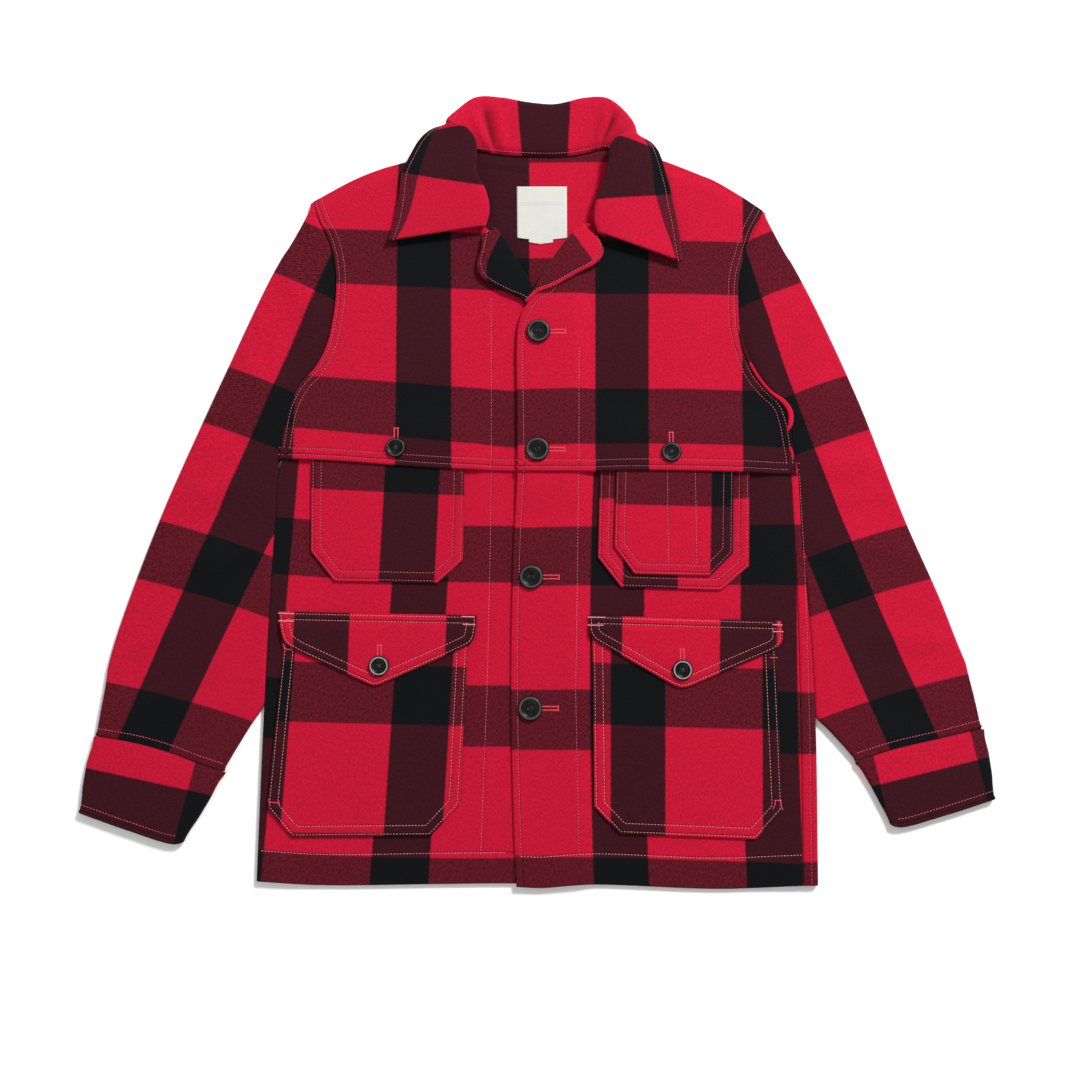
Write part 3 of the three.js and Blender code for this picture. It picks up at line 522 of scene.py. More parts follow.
@dataclass(frozen=True)
class Crease:
    """Soft ridge or trough from one place to another, seen from above."""

    start: tuple[float, float]
    end: tuple[float, float]
    width: float
    height: float

    def rise(self, x: np.ndarray, y: np.ndarray) -> np.ndarray:
        """Height that the crease adds.

        Args:
            x: places across the jacket.
            y: places up the jacket.

        Returns:
            One height for each place.
        """
        a, b = np.array(self.start), np.array(self.end)
        ab = b - a
        length = float(np.hypot(*ab))
        t = ((x - a[0]) * ab[0] + (y - a[1]) * ab[1]) / length**2
        d = ((x - a[0]) * ab[1] - (y - a[1]) * ab[0]) / length
        return self.height * np.exp(-((d / self.width) ** 2)) * ease(-0.25, 0.3, t) * ease(1.25, 0.7, t)


# Creases of the body: long soft ridges down the fronts and pulls at the armholes
BODY_CREASES = (
    Crease((-200, 200), (-190, 60), 26, 0.8),
    Crease((-110, 170), (-60, 40), 22, 0.7),
    Crease((-60, 120), (-62, -30), 14, 0.6),
    Crease((75, 160), (50, 20), 20, 0.8),
    Crease((160, 200), (150, 70), 28, 0.9),
    Crease((-205, 70), (-120, 110), 16, 0.8),
    Crease((200, 60), (130, 90), 18, 0.9),
    Crease((-75, -110), (-45, -330), 18, 1.1),
    Crease((32, -130), (46, -340), 15, 0.9),
    Crease((-170, -60), (-150, -125), 20, 0.8),
    Crease((150, -110), (165, -135), 26, 0.7),
    Crease((-120, -250), (-170, -330), 26, 0.9),
    Crease((150, -240), (120, -320), 24, 0.8),
    Crease((-230, -372), (-120, -385), 11, 0.8),
    Crease((60, -384), (190, -372), 11, 0.7),
    Crease((-250, -60), (-236, -140), 10, 0.8),
    Crease((238, -60), (226, -150), 12, 0.8),
)
SLEEVE_CREASES = (
    Crease((-262, 225), (-228, 160), 13, 2.4),
    Crease((-240, 190), (-252, 110), 10, -1.5),
    Crease((-300, 120), (-262, 70), 16, 1.95),
    Crease((-330, 60), (-290, 30), 11, -1.35),
    Crease((-350, -20), (-290, -5), 12, 2.25),
    Crease((-372, -60), (-300, -30), 9, -1.35),
    Crease((-390, -100), (-300, -75), 13, 2.4),
    Crease((-330, -110), (-275, -60), 10, 1.8),
    Crease((-400, -170), (-330, -150), 11, 1.8),
    Crease((-380, -215), (-320, -235), 14, 1.65),
    Crease((-300, -160), (-320, -250), 11, 1.5),
    Crease((246, 200), (222, 150), 12, 2.25),
    Crease((262, 150), (240, 80), 12, -1.35),
    Crease((300, 100), (268, 55), 16, 2.1),
    Crease((340, 20), (285, 5), 12, 2.25),
    Crease((350, -30), (290, -38), 9, -1.35),
    Crease((380, -80), (300, -70), 13, 2.25),
    Crease((330, -120), (276, -60), 10, 1.8),
    Crease((404, -160), (330, -165), 12, 1.95),
    Crease((400, -225), (340, -205), 12, 1.5),
    Crease((300, -150), (330, -250), 12, 1.65),
)


def lie_of(creases: Sequence[Crease], x: np.ndarray, y: np.ndarray) -> np.ndarray:
    """Sum of what the creases add at places x, y."""
    return sum((c.rise(x, y) for c in creases), np.zeros_like(np.asarray(x, float)))


def body_lie(x: np.ndarray, y: np.ndarray) -> np.ndarray:
    """Rise of the body's creases, none at the side edges."""
    return lie_of(BODY_CREASES, x, y) * ease(4, 26, side_distance(x, y))


HALF_HEM, HALF_CHEST, HEM_Y = 270, 261.5, -400


def side_distance(x: np.ndarray, y: np.ndarray) -> np.ndarray:
    """How far inside the body's side edges a place is."""
    half = HALF_HEM + (HALF_CHEST - HALF_HEM) * np.clip((y - HEM_Y) / -HEM_Y, 0, 1)
    return half - np.abs(x)


def edge_puff(x: np.ndarray, y: np.ndarray) -> np.ndarray:
    """Rise of the fronts beside the rolled side edges."""
    return EDGE_PUFF * ease(PUFF_REACH, 6, side_distance(x, y)) * ease(60, 5, y)


def front_right_z(x: np.ndarray, y: np.ndarray) -> np.ndarray:
    """Middle of the right front's cloth."""
    return FRONT_Z + edge_puff(x, y) + body_lie(x, y)


def front_left_z(x: np.ndarray, y: np.ndarray) -> np.ndarray:
    """Middle of the left front's cloth, which climbs onto the right front and its yoke."""
    climb = ease(LAP_X[0] + 2, LAP_X[1] - 2, x)
    return front_right_z(x, y) + (LAY + LAY * ease(-45, -6, y)) * climb


def over_chest(y: np.ndarray) -> np.ndarray:
    """1 where a yoke lies over a chest pocket, by height up the body."""
    return ease(80, POCKET_TOP_Y + 16, y)


def yoke_right_z(x: np.ndarray, y: np.ndarray) -> np.ndarray:
    """Middle of the right yoke's cloth."""
    return front_right_z(x, y) + LAY + LAY * ease(-44, -65, x) * ease(-252, -234, x) * over_chest(y)


def yoke_left_z(x: np.ndarray, y: np.ndarray) -> np.ndarray:
    """Middle of the left yoke's cloth.

    Args:
        x: places across the jacket.
        y: places up the jacket.

    Returns:
        One height for each place.
    """
    outer = ease(36, 54, x) * ease(242, 221, x)
    inner = ease(56, 73, x) * ease(222, 203, x)
    return front_left_z(x, y) + LAY + LAY * (outer + inner) * over_chest(y)


def front_z(side: Side) -> Height:
    """Height of one of the fronts."""
    return front_right_z if side is Side.RIGHT else front_left_z


def flap_z(side: Side) -> Height:
    """Height of a hip flap, sewn to the front and lying on its pocket."""
    return lambda x, y: front_z(side)(x, y) + LAY + LAY * ease(-140, -156, y)


# Meshes


@dataclass
class Sheet:
    """Cloth as a grid of points with the numbers of its check and its stitch rows."""

    points: np.ndarray
    check: np.ndarray
    under_check: Optional[np.ndarray] = None
    rows: dict[str, np.ndarray] = field(default_factory=dict)
    outer_rise: Optional[np.ndarray] = None
    closed: bool = False

    def area(self) -> float:
        """Area of the cloth.

        Returns:
            The area in square metres.
        """
        p = np.concatenate([self.points, self.points[:, :1]], 1) if self.closed else self.points
        a = np.cross(p[1:, :-1] - p[:-1, :-1], p[:-1, 1:] - p[:-1, :-1])
        b = np.cross(p[1:, :-1] - p[1:, 1:], p[:-1, 1:] - p[1:, 1:])
        return float((np.linalg.norm(a, axis=-1) + np.linalg.norm(b, axis=-1)).sum() / 2 * MM * MM)

    def normals(self) -> np.ndarray:
        """Direction square to the cloth at each point.

        Returns:
            One unit vector for each point, upwards on most of the cloth.
        """
        p = self.points
        across = np.roll(p, -1, 1) - np.roll(p, 1, 1) if self.closed else np.gradient(p, axis=1)
        n = np.cross(across, np.gradient(p, axis=0))
        n /= np.maximum(np.linalg.norm(n, axis=-1, keepdims=True), 1e-9)
        return n

    def facing(self) -> int:
        """1 if the normals point out of the cloth's right side, which is up at its highest points."""
        z = self.points[..., 2]
        return 1 if self.normals()[..., 2][z >= np.quantile(z, 0.8)].mean() > 0 else -1

    def edge_distance(self) -> np.ndarray:
        """Distance along the grid to its nearest open edge.

        Returns:
            One distance for each point.
        """
        d = np.linalg.norm(np.diff(self.points, axis=0), axis=-1)
        down = np.vstack([np.zeros((1, d.shape[1])), np.cumsum(d, 0)])
        best = np.minimum(down, down[-1:] - down)
        if not self.closed:
            d = np.linalg.norm(np.diff(self.points, axis=1), axis=-1)
            over = np.hstack([np.zeros((d.shape[0], 1)), np.cumsum(d, 1)])
            best = np.minimum(best, np.minimum(over, over[:, -1:] - over))
        return best


# Distances that each cloth vertex keeps: to stitch rows and pen lines, and to the collar's hollows; the
# wool's material paints shade along all of them
MARKS = ("row_a", "row_b", "line", "hollow")
FAR = 50.0


def wall(name: str, sheet: Sheet, thickness: float, material: bpy.types.Material,
         lip: float = 1.3) -> bpy.types.Object:
    """Makes a wall of cloth with rounded edges from a sheet.

    Args:
        name: name of the object.
        sheet: the middle of the cloth.
        thickness: of the wall.
        material: of the whole wall.
        lip: radius over which an open edge rounds off.

    Returns:
        The object, linked to the scene.
    """
    rows, cols = sheet.points.shape[:2]
    facing = sheet.facing()
    normal = sheet.normals() * facing
    round_off = np.sqrt(np.clip(1 - (1 - np.minimum(sheet.edge_distance() / lip, 1)) ** 2, 0.02, 1))
    half = (thickness / 2 * round_off)[..., None]
    rise = 0 if sheet.outer_rise is None else (sheet.outer_rise * round_off)[..., None]
    sides = np.concatenate([(sheet.points + normal * (half + rise)).reshape(-1, 3),
                            (sheet.points - normal * half).reshape(-1, 3)])
    index = np.arange(rows * cols).reshape(rows, cols)
    if sheet.closed:
        index = np.hstack([index, index[:, :1]])
    a, b, c, d = index[:-1, :-1], index[:-1, 1:], index[1:, 1:], index[1:, :-1]
    top = np.stack([a, b, c, d], -1).reshape(-1, 4)
    if facing < 0:
        top = top[:, ::-1]
    under = rows * cols
    faces = [top, top[:, ::-1] + under]
    loops = [index[0], index[-1][::-1]]
    if not sheet.closed:
        loops = [np.concatenate([index[0, :-1], index[:-1, -1], index[-1, :0:-1], index[::-1, 0]])]
    for loop in loops:
        rim = np.stack([loop[:-1], loop[:-1] + under, loop[1:] + under, loop[1:]], -1)
        faces.append(rim if facing > 0 else rim[:, ::-1])
    lower = sheet.check if sheet.under_check is None else sheet.under_check
    check = np.concatenate([sheet.check.reshape(-1, 2), lower.reshape(-1, 2)])
    none = np.full((rows, cols), FAR)
    marks = {k: np.concatenate([sheet.rows.get(k, none).ravel(), none.ravel()]) for k in MARKS}
    return mesh_object(name, sides, np.vstack(faces), material, check, marks)


def linked(name: str, data: Optional[bpy.types.ID]) -> bpy.types.Object:
    """Makes an object of its data and links it to the scene.

    Args:
        name: name of the object.
        data: what it shows.

    Returns:
        The object.
    """
    made = bpy.data.objects.new(name, data)
    bpy.context.scene.collection.objects.link(made)
    return made


def mesh_object(name: str, vertices: np.ndarray, faces: np.ndarray, material: bpy.types.Material,
                check: Optional[np.ndarray] = None,
                marks: Optional[dict[str, np.ndarray]] = None) -> bpy.types.Object:
    """Makes a smooth mesh object from millimetres.

    Args:
        name: name of the object.
        vertices: places in millimetres.
        faces: four corners each.
        material: of all faces.
        check: two numbers for each vertex, kept in a UV map named cloth.
        marks: further numbers for each vertex, kept as attributes.

    Returns:
        The object, linked to the scene.
    """
    mesh = bpy.data.meshes.new(name)
    mesh.from_pydata((vertices * MM).tolist(), [], faces.tolist())
    corner = np.zeros(len(mesh.loops), np.int32)
    mesh.loops.foreach_get("vertex_index", corner)
    if check is not None:
        mesh.uv_layers.new(name="cloth").data.foreach_set("uv", check[corner].astype(np.float32).ravel())
    for key, values in (marks or {}).items():
        mesh.attributes.new(key, "FLOAT", "POINT").data.foreach_set("value", values.astype(np.float32))
    mesh.polygons.foreach_set("use_smooth", np.ones(len(mesh.polygons), bool))
    mesh.materials.append(material)
    mesh.validate()
    mesh.update()
    return linked(name, mesh)


# Materials


class Value:
    """A shader socket that can stand in arithmetic."""

    def __init__(self, shader: "Shader", socket: bpy.types.NodeSocket) -> None:
        """Holds a socket.

        Args:
            shader: the shader it belongs to.
            socket: where it comes from.
        """
        self.shader = shader
        self.socket = socket

    def _math(self, operation: str, *others: "Value | float") -> "Value":
        """Adds a Math node for an operation."""
        return self.shader.node("ShaderNodeMath", {"operation": operation}, dict(enumerate(others)))

    def __add__(self, other: "Value | float") -> "Value":
        """Sum."""
        return self._math("ADD", self, other)

    def __radd__(self, other: float) -> "Value":
        """Sum with a number first."""
        return self._math("ADD", other, self)

    def __sub__(self, other: "Value | float") -> "Value":
        """Difference."""
        return self._math("SUBTRACT", self, other)

    def __rsub__(self, other: float) -> "Value":
        """Difference from a number."""
        return self._math("SUBTRACT", other, self)

    def __mul__(self, other: "Value | float") -> "Value":
        """Product."""
        return self._math("MULTIPLY", self, other)

    def __rmul__(self, other: float) -> "Value":
        """Product with a number first."""
        return self._math("MULTIPLY", other, self)

    def __abs__(self) -> "Value":
        """Size without its sign."""
        return self._math("ABSOLUTE", self)

    def fraction(self) -> "Value":
        """Part after the decimal point."""
        return self._math("FRACT", self)

    def sine(self) -> "Value":
        """Sine of the value in radians."""
        return self._math("SINE", self)

    def exp(self) -> "Value":
        """Exponential."""
        return self._math("EXPONENT", self)

    def clamped(self) -> "Value":
        """Kept between 0 and 1."""
        return self._math("MINIMUM", self._math("MAXIMUM", self, 0.0), 1.0)

    def above(self, level: float, soft: float) -> "Value":
        """Soft step from 0 below a level to 1 above it."""
        return ((self - level) * (1 / soft) + 0.5).clamped()


class Shader:
    """A material under construction."""

    def __init__(self, name: str, roughness: float, **constants: float) -> None:
        """Starts a material with one surface.

        Args:
            name: name of the material.
            roughness: of its surface.
            constants: further inputs of the surface, with _ for a space.
        """
        self.material = bpy.data.materials.new(name)
        self.material.use_nodes = True
        self.tree = self.material.node_tree
        self.tree.nodes.clear()
        self.surface = self.tree.nodes.new("ShaderNodeBsdfPrincipled")
        out = self.tree.nodes.new("ShaderNodeOutputMaterial")
        self.tree.links.new(self.surface.outputs[0], out.inputs["Surface"])
        self.surface.inputs["Roughness"].default_value = roughness
        for key, value in constants.items():
            self.surface.inputs[key.replace("_", " ")].default_value = value

    def node(self, kind: str, settings: Optional[dict] = None, inputs: Optional[dict] = None,
             output: int | str = 0) -> Value:
        """Adds a node.

        Args:
            kind: type of the node.
            settings: its properties, set before its sockets.
            inputs: values or links by socket name or number.
            output: the socket to return.

        Returns:
            The chosen output.
        """
        made = self.tree.nodes.new(kind)
        for key, value in (settings or {}).items():
            setattr(made, key, value)
        for key, value in (inputs or {}).items():
            socket = made.inputs[key]
            if isinstance(value, Value):
                self.tree.links.new(value.socket, socket)
            else:
                socket.default_value = value
        return Value(self, made.outputs[output])

    def mix(self, factor: "Value | float", first: "Value | tuple", second: "Value | tuple") -> Value:
        """Mix of two colours."""
        colour = [(*c, 1.0) if isinstance(c, tuple) else c for c in (first, second)]
        return self.node("ShaderNodeMix", {"data_type": "RGBA"}, {0: factor, 6: colour[0], 7: colour[1]}, 2)

    def plane(self, place: Value) -> tuple[Value, Value]:
        """First and second part of a place."""
        across = self.node("ShaderNodeSeparateXYZ", None, {0: place})
        return across, Value(self, across.socket.node.outputs[1])

    def place(self) -> Value:
        """Object coordinates."""
        return self.node("ShaderNodeTexCoord", None, None, "Object")

    def mark(self, key: str) -> Value:
        """A number that the mesh keeps under this name."""
        return self.node("ShaderNodeAttribute", {"attribute_name": key}, None, "Fac")

    def noise(self, place: Value, scale: float, detail: float = 3.0, roughness: float = 0.55) -> Value:
        """Noise from 0 to 1 round a half."""
        return self.node("ShaderNodeTexNoise", None,
                         {"Vector": place, "Scale": scale, "Detail": detail, "Roughness": roughness})

    def stretched(self, place: Value, turn: float, scale: tuple[float, float, float]) -> Value:
        """Places turned about Z and scaled."""
        return self.node("ShaderNodeMapping", None,
                         {"Vector": place, "Rotation": (0.0, 0.0, turn), "Scale": scale})

    def finish(self, colour: Value, height: Optional[Value] = None,
               depth: float = 0.0003) -> bpy.types.Material:
        """Links the colour and the relief.

        Args:
            colour: the surface's colour.
            height: its relief, from 0 to 1.
            depth: how deep the relief is, in metres.

        Returns:
            The material.
        """
        self.tree.links.new(colour.socket, self.surface.inputs["Base Color"])
        if height is not None:
            bump = self.node("ShaderNodeBump", None, {"Strength": 1.0, "Distance": depth, "Height": height})
            self.tree.links.new(bump.socket, self.surface.inputs["Normal"])
        return self.material


@dataclass(frozen=True)
class WoolCheck:
    """Napped wool twill in a buffalo check of red and black."""

    red: tuple[float, float, float] = (0.660, 0.0077, 0.042)
    dark_red: tuple[float, float, float] = (0.290, 0.0030, 0.016)
    wine_warp: tuple[float, float, float] = (0.026, 0.0040, 0.0075)
    wine_weft: tuple[float, float, float] = (0.022, 0.0030, 0.0060)
    fleck: tuple[float, float, float] = (0.185, 0.0085, 0.0210)
    black: tuple[float, float, float] = (0.0030, 0.0034, 0.0040)
    grey_nap: tuple[float, float, float] = (0.0075, 0.008, 0.009)
    # shadow is a painted shade colour; groove_shade and hollow_shade say how far stitch-row grooves and the
    # collar's hollows are painted towards it
    shadow: tuple[float, float, float] = (0.02, 0.002, 0.004)
    twill_pitch: float = 2.9
    twill_slope: float = 1.25
    edge_sharpness: float = 110.0
    groove_shade: float = 0.26
    hollow_shade: float = 0.62
    relief_depth: float = 0.0007

    def _dark(self, number: Value) -> Value:
        """1 in a dark stripe, 0 between, with a soft edge of about a millimetre."""
        away = abs((number + (0.5 - DARK_SHARE / 2)).fraction() - 0.5)
        return ((DARK_SHARE / 2 - away) * self.edge_sharpness + 0.5).clamped()

    def material(self, name: str = "wool_check") -> bpy.types.Material:
        """Builds the cloth's finish from the piece's own check numbers and stitch rows, with painted shade in
        the grooves of the stitch rows and pen lines and in the collar's hollows.

        Args:
            name: name of the material.

        Returns:
            The material.
        """
        s = Shader(name, 0.95, Sheen_Weight=0.03, Sheen_Roughness=0.6, Specular_IOR_Level=0.06)
        uv = s.node("ShaderNodeUVMap", {"uv_map": "cloth"})
        cloth = s.node("ShaderNodeVectorMath", {"operation": "SCALE"}, {0: uv, "Scale": CHECK_REPEAT})
        fibre = s.noise(s.stretched(cloth, 0.55, (1.0, 0.4, 1.0)), 0.95, 3.0, 0.65)
        fuzz = s.noise(cloth, 0.42, 4.0, 0.68)
        mottle = s.noise(cloth, 0.075, 3.0, 0.6)
        ragged = (fibre - 0.5) * 0.012 + (fuzz - 0.5) * 0.010
        across, down = s.plane(uv)
        stripe = self._dark(across + ragged)
        band = self._dark(down + ragged)
        turns = CHECK_REPEAT * math.tau / self.twill_pitch
        twill = ((across + down * self.twill_slope) * turns + (fuzz - 0.5) * 5).sine() * 0.5 + 0.5
        speck = fibre * 0.5 + fuzz * 0.5
        worn = speck.above(0.5, 0.34)
        red = s.mix(worn * 0.80 + mottle.above(0.5, 0.5) * 0.12, self.red, self.dark_red)
        warp = s.mix(speck.above(0.53, 0.24) * 0.20, self.wine_warp, self.fleck)
        weft = s.mix(speck.above(0.50, 0.17) * 0.56 + twill * 0.32, self.wine_weft, self.fleck)
        black = s.mix(speck.above(0.55, 0.3) * 0.4, self.black, self.grey_nap)
        colour = s.mix(band, s.mix(stripe, red, warp), s.mix(stripe, weft, black))
        # Painted shade: cloth near stitch rows, pen lines and in the collar's hollows is darkened towards the
        # shadow colour
        row_a, row_b, line, hollow = (
            (row * row * (-1 / width**2)).exp()
            for row, width in zip(map(s.mark, MARKS), (0.9, 0.9, 1.0, 1.0)))
        groove = row_a + row_b + line
        shade = (groove * self.groove_shade + hollow * self.hollow_shade).clamped()
        relief = twill * 0.22 + fibre * 0.8 + fuzz * 0.9 - groove * 1.1
        return s.finish(s.mix(shade, colour, self.shadow), relief, self.relief_depth)


@dataclass(frozen=True)
class ThreadFinish:
    """Spun thread with a faint twist."""

    thread: Thread
    darkest: float = 0.7

    def material(self) -> bpy.types.Material:
        """Builds the thread's material.

        Returns:
            The material.
        """
        s = Shader(f"thread_{self.thread.name.lower()}", 0.6, Sheen_Weight=0.1)
        twist = s.noise(s.place(), 1600.0, 2.0)
        light = self.thread.value
        colour = s.mix(twist.above(0.5, 0.6) * 0.5, light, tuple(part * self.darkest for part in light))
        return s.finish(colour, twist, 0.0001)


@dataclass(frozen=True)
class ButtonPlastic:
    """Black moulded plastic with a faint smoky grain; lighter copies of it paint a highlight on the buttons'
    rims.
    """

    name: str
    base: tuple[float, float, float] = (0.0035, 0.0035, 0.0038)
    smoke: tuple[float, float, float] = (0.020, 0.018, 0.017)

    def material(self) -> bpy.types.Material:
        """Builds the buttons' material.

        Returns:
            The material.
        """
        s = Shader(self.name, 0.34, Coat_Weight=0.03, Coat_Roughness=0.25, Specular_IOR_Level=0.14)
        place = s.place()
        grain = s.noise(s.stretched(place, 0.4, (1.0, 0.25, 1.0)), 420.0, 4.0)
        scuff = s.noise(place, 1900.0, 3.0)
        colour = s.mix(grain.above(0.56, 0.3) * 0.5, self.base, self.smoke)
        rough = s.node("ShaderNodeMapRange", None, {0: scuff, 1: 0.3, 2: 0.75, 3: 0.22, 4: 0.42})
        s.tree.links.new(rough.socket, s.surface.inputs["Roughness"])
        return s.finish(colour, scuff, 0.00006)


@dataclass(frozen=True)
class LabelCloth:
    """Cream woven label with two ruled lines; its places are metres across and up."""

    cream: tuple[float, float, float] = (0.60, 0.595, 0.55)
    soiled: tuple[float, float, float] = (0.53, 0.52, 0.47)
    rule: tuple[float, float, float] = (0.22, 0.25, 0.34)
    rules_at: tuple[float, float] = (0.2880, 0.2858)
    rule_middle: float = 0.0045
    rule_half_length: float = 0.0225
    rule_half_width: float = 0.00025
    weave: tuple[float, float] = (0.0007, 0.0006)

    def material(self) -> bpy.types.Material:
        """Builds the label's material.

        Returns:
            The material.
        """
        s = Shader("label_cloth", 0.8, Sheen_Weight=0.1)
        place = s.place()
        across, up = s.plane(place)
        weave = (across * (math.tau / self.weave[0])).sine() * (up * (math.tau / self.weave[1])).sine()
        upper, lower = (1 - abs(up - y).above(self.rule_half_width, 0.0002) for y in self.rules_at)
        inside = 1 - abs(across - self.rule_middle).above(self.rule_half_length, 0.0006)
        soil = s.noise(place, 90.0, 3.0)
        base = s.mix(soil.above(0.55, 0.4) * 0.35, self.cream, self.soiled)
        colour = s.mix((upper + lower).clamped() * inside * 0.55, base, self.rule)
        return s.finish(colour, weave, 0.00003)


@dataclass(frozen=True)
class PaleFloor:
    """Plain pale paper."""

    tone: tuple[float, float, float] = (0.98, 0.98, 0.98)
    grain_tone: tuple[float, float, float] = (0.95, 0.95, 0.95)

    def material(self) -> bpy.types.Material:
        """Builds the floor's material.

        Returns:
            The material.
        """
        s = Shader("pale_floor", 0.95, Specular_IOR_Level=0.1)
        place = s.place()
        return s.finish(s.mix(s.noise(place, 14.0, 3.0) * 0.03, self.tone, self.grain_tone))


# Sewing

SEAM_STEP = 3.0
FIRST_SEED = 11


@dataclass
class Seam:
    """One row of stitches along a line on the cloth."""

    line: np.ndarray
    thread: Thread
    pitch: float = 3.1
    along: float = 1.15
    across: float = 0.34
    tall: float = 0.30


class Sewing:
    """Collects rows of stitches and makes each kind of them with Geometry Nodes."""

    def __init__(self) -> None:
        """Starts with no rows."""
        self.seams: list[Seam] = []

    def row(self, line: np.ndarray, height: Height, thread: Thread, sink: float = 0.0, **size: float) -> None:
        """Adds a row on a piece.

        Args:
            line: the row seen from above.
            height: middle of the cloth it is sewn through.
            thread: the thread.
            sink: how far the row lies below the cloth's plain surface.
            size: pitch and half-lengths of its stitches, where they aren't the usual ones.
        """
        fine = thinned(np.asarray(line, float), SEAM_STEP)
        self.seams.append(Seam(upright(fine, at(height, fine) + CLOTH / 2 - sink), thread, **size))

    @staticmethod
    def _tree(material: bpy.types.Material) -> bpy.types.NodeTree:
        """Nodes that set small rounded stitches along every line of a mesh.

        Args:
            material: the thread's finish.

        Returns:
            The group of nodes.
        """
        tree = bpy.data.node_groups.new("stitches", "GeometryNodeTree")
        face = tree.interface
        face.new_socket("Lines", in_out="INPUT", socket_type="NodeSocketGeometry")
        for key in ("Pitch", "Along", "Across", "Height"):
            face.new_socket(key, in_out="INPUT", socket_type="NodeSocketFloat")
        face.new_socket("Seed", in_out="INPUT", socket_type="NodeSocketInt")
        face.new_socket("Stitches", in_out="OUTPUT", socket_type="NodeSocketGeometry")

        def node(kind: str, settings: Optional[dict] = None,
                 inputs: Optional[dict] = None) -> bpy.types.Node:
            """Adds a node.

            Args:
                kind: its type.
                settings: its own values.
                inputs: what goes into its sockets.

            Returns:
                The node.
            """
            made = tree.nodes.new(kind)
            for key, value in (settings or {}).items():
                setattr(made, key, value)
            for key, value in (inputs or {}).items():
                if isinstance(value, bpy.types.NodeSocket):
                    tree.links.new(value, made.inputs[key])
                else:
                    made.inputs[key].default_value = value
            return made

        given = tree.nodes.new("NodeGroupInput").outputs
        curve = node("GeometryNodeMeshToCurve", None, {"Mesh": given["Lines"]})
        upright = node("GeometryNodeSetCurveNormal", {"mode": "Z_UP"}, {"Curve": curve.outputs[0]})
        dots = node("GeometryNodeCurveToPoints", {"mode": "LENGTH"},
                    {"Curve": upright.outputs[0], "Length": given["Pitch"]})
        ball = node("GeometryNodeMeshUVSphere", None, {"Segments": 6, "Rings": 4, "Radius": 1.0})
        size = node("ShaderNodeCombineXYZ", None, {0: given["Across"], 1: given["Height"], 2: given["Along"]})
        stitch = node("GeometryNodeTransform", None, {"Geometry": ball.outputs[0], "Scale": size.outputs[0]})
        vary = node("FunctionNodeRandomValue", {"data_type": "FLOAT_VECTOR"}, {"Seed": given["Seed"]})
        vary.inputs[0].default_value = (0.85, 0.85, 0.86)
        vary.inputs[1].default_value = (1.15, 1.12, 1.10)
        placed = node("GeometryNodeInstanceOnPoints", None, {
            "Points": dots.outputs["Points"], "Instance": stitch.outputs[0],
            "Rotation": dots.outputs["Rotation"], "Scale": vary.outputs[0]})
        real = node("GeometryNodeRealizeInstances", None, {0: placed.outputs[0]})
        smooth = node("GeometryNodeSetShadeSmooth", None, {"Geometry": real.outputs[0]})
        dressed = node("GeometryNodeSetMaterial", None, {"Geometry": smooth.outputs[0], "Material": material})
        out = tree.nodes.new("NodeGroupOutput")
        tree.links.new(dressed.outputs[0], out.inputs[0])
        return tree

    def make(self, name: str, seams: Sequence[Seam], seed: int) -> None:
        """Makes one object of rows that share their thread and their stitch size.

        Args:
            name: name of the object.
            seams: the rows.
            seed: seed of the rows' random draws.
        """
        first = seams[0]
        vertices, edges = [], []
        for seam in seams:
            start = len(vertices)
            vertices += (seam.line * MM).tolist()
            edges += [(start + k, start + k + 1) for k in range(len(seam.line) - 1)]
        lines = bpy.data.meshes.new(name + "_lines")
        lines.from_pydata(vertices, edges, [])
        carrier = linked(name + "_lines", lines)
        tree = self._tree(ThreadFinish(first.thread).material())
        modifier = carrier.modifiers.new("stitches", "NODES")
        modifier.node_group = tree
        values = {"Pitch": first.pitch * MM, "Along": first.along * MM, "Across": first.across * MM,
                  "Height": first.tall * MM, "Seed": seed}
        for item in tree.interface.items_tree:
            if item.in_out == "INPUT" and item.name in values:
                modifier[item.identifier] = values[item.name]
        graph = bpy.context.evaluated_depsgraph_get()
        mesh = bpy.data.meshes.new_from_object(carrier.evaluated_get(graph), depsgraph=graph)
        bpy.data.objects.remove(carrier)
        mesh.name = name
        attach(linked(name, mesh), "root")
        log.info("%s: %d rows, %d faces", name, len(seams), len(mesh.polygons))

    def make_all(self) -> None:
        """Makes every kind of row that was collected."""
        kinds: dict[tuple, list[Seam]] = {}
        for seam in self.seams:
            key = (seam.thread.name, seam.pitch, seam.along, seam.across, seam.tall)
            kinds.setdefault(key, []).append(seam)
        for number, (key, seams) in enumerate(kinds.items()):
            self.make(f"stitches_{key[0].lower()}_{number}", seams, FIRST_SEED + number)


@dataclass
class Shop:
    """What every sub-assembly is made with: the cloth's finish and the sewing."""

    wool: bpy.types.Material
    sewing: Sewing

    def settle(self, piece: bpy.types.Object, node: str) -> bpy.types.Object:
        """Lets a piece stand for a CAD node.

        Args:
            piece: the mesh.
            node: name of the CAD node.

        Returns:
            The piece.
        """
        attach(piece, "root")
        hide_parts(node)
        log.info("%s: %d faces", piece.name, len(piece.data.polygons))
        return piece

    def lay(self, node: str, sheet: Sheet, flat: tuple[float, float], rests_on: list[str],
            held: str = "laid", thickness: float = CLOTH, lip: float = 1.3) -> None:
        """Makes the wall of a piece and lets it stand for its CAD node.

        Args:
            node: the CAD node.
            sheet: the middle of the cloth.
            flat: size of the flat cut, in metres; not used.
            rests_on: what it lies on; not used.
            held: how it is held; not used.
            thickness: of the wall.
            lip: radius over which an open edge rounds off.
        """
        piece = self.settle(wall("cloth_" + node, sheet, thickness, self.wool, lip), node)
        sheet.area()
        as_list(rests_on)


BORDER_LIFT = 0.7
ROW_DEPTH = 0.55


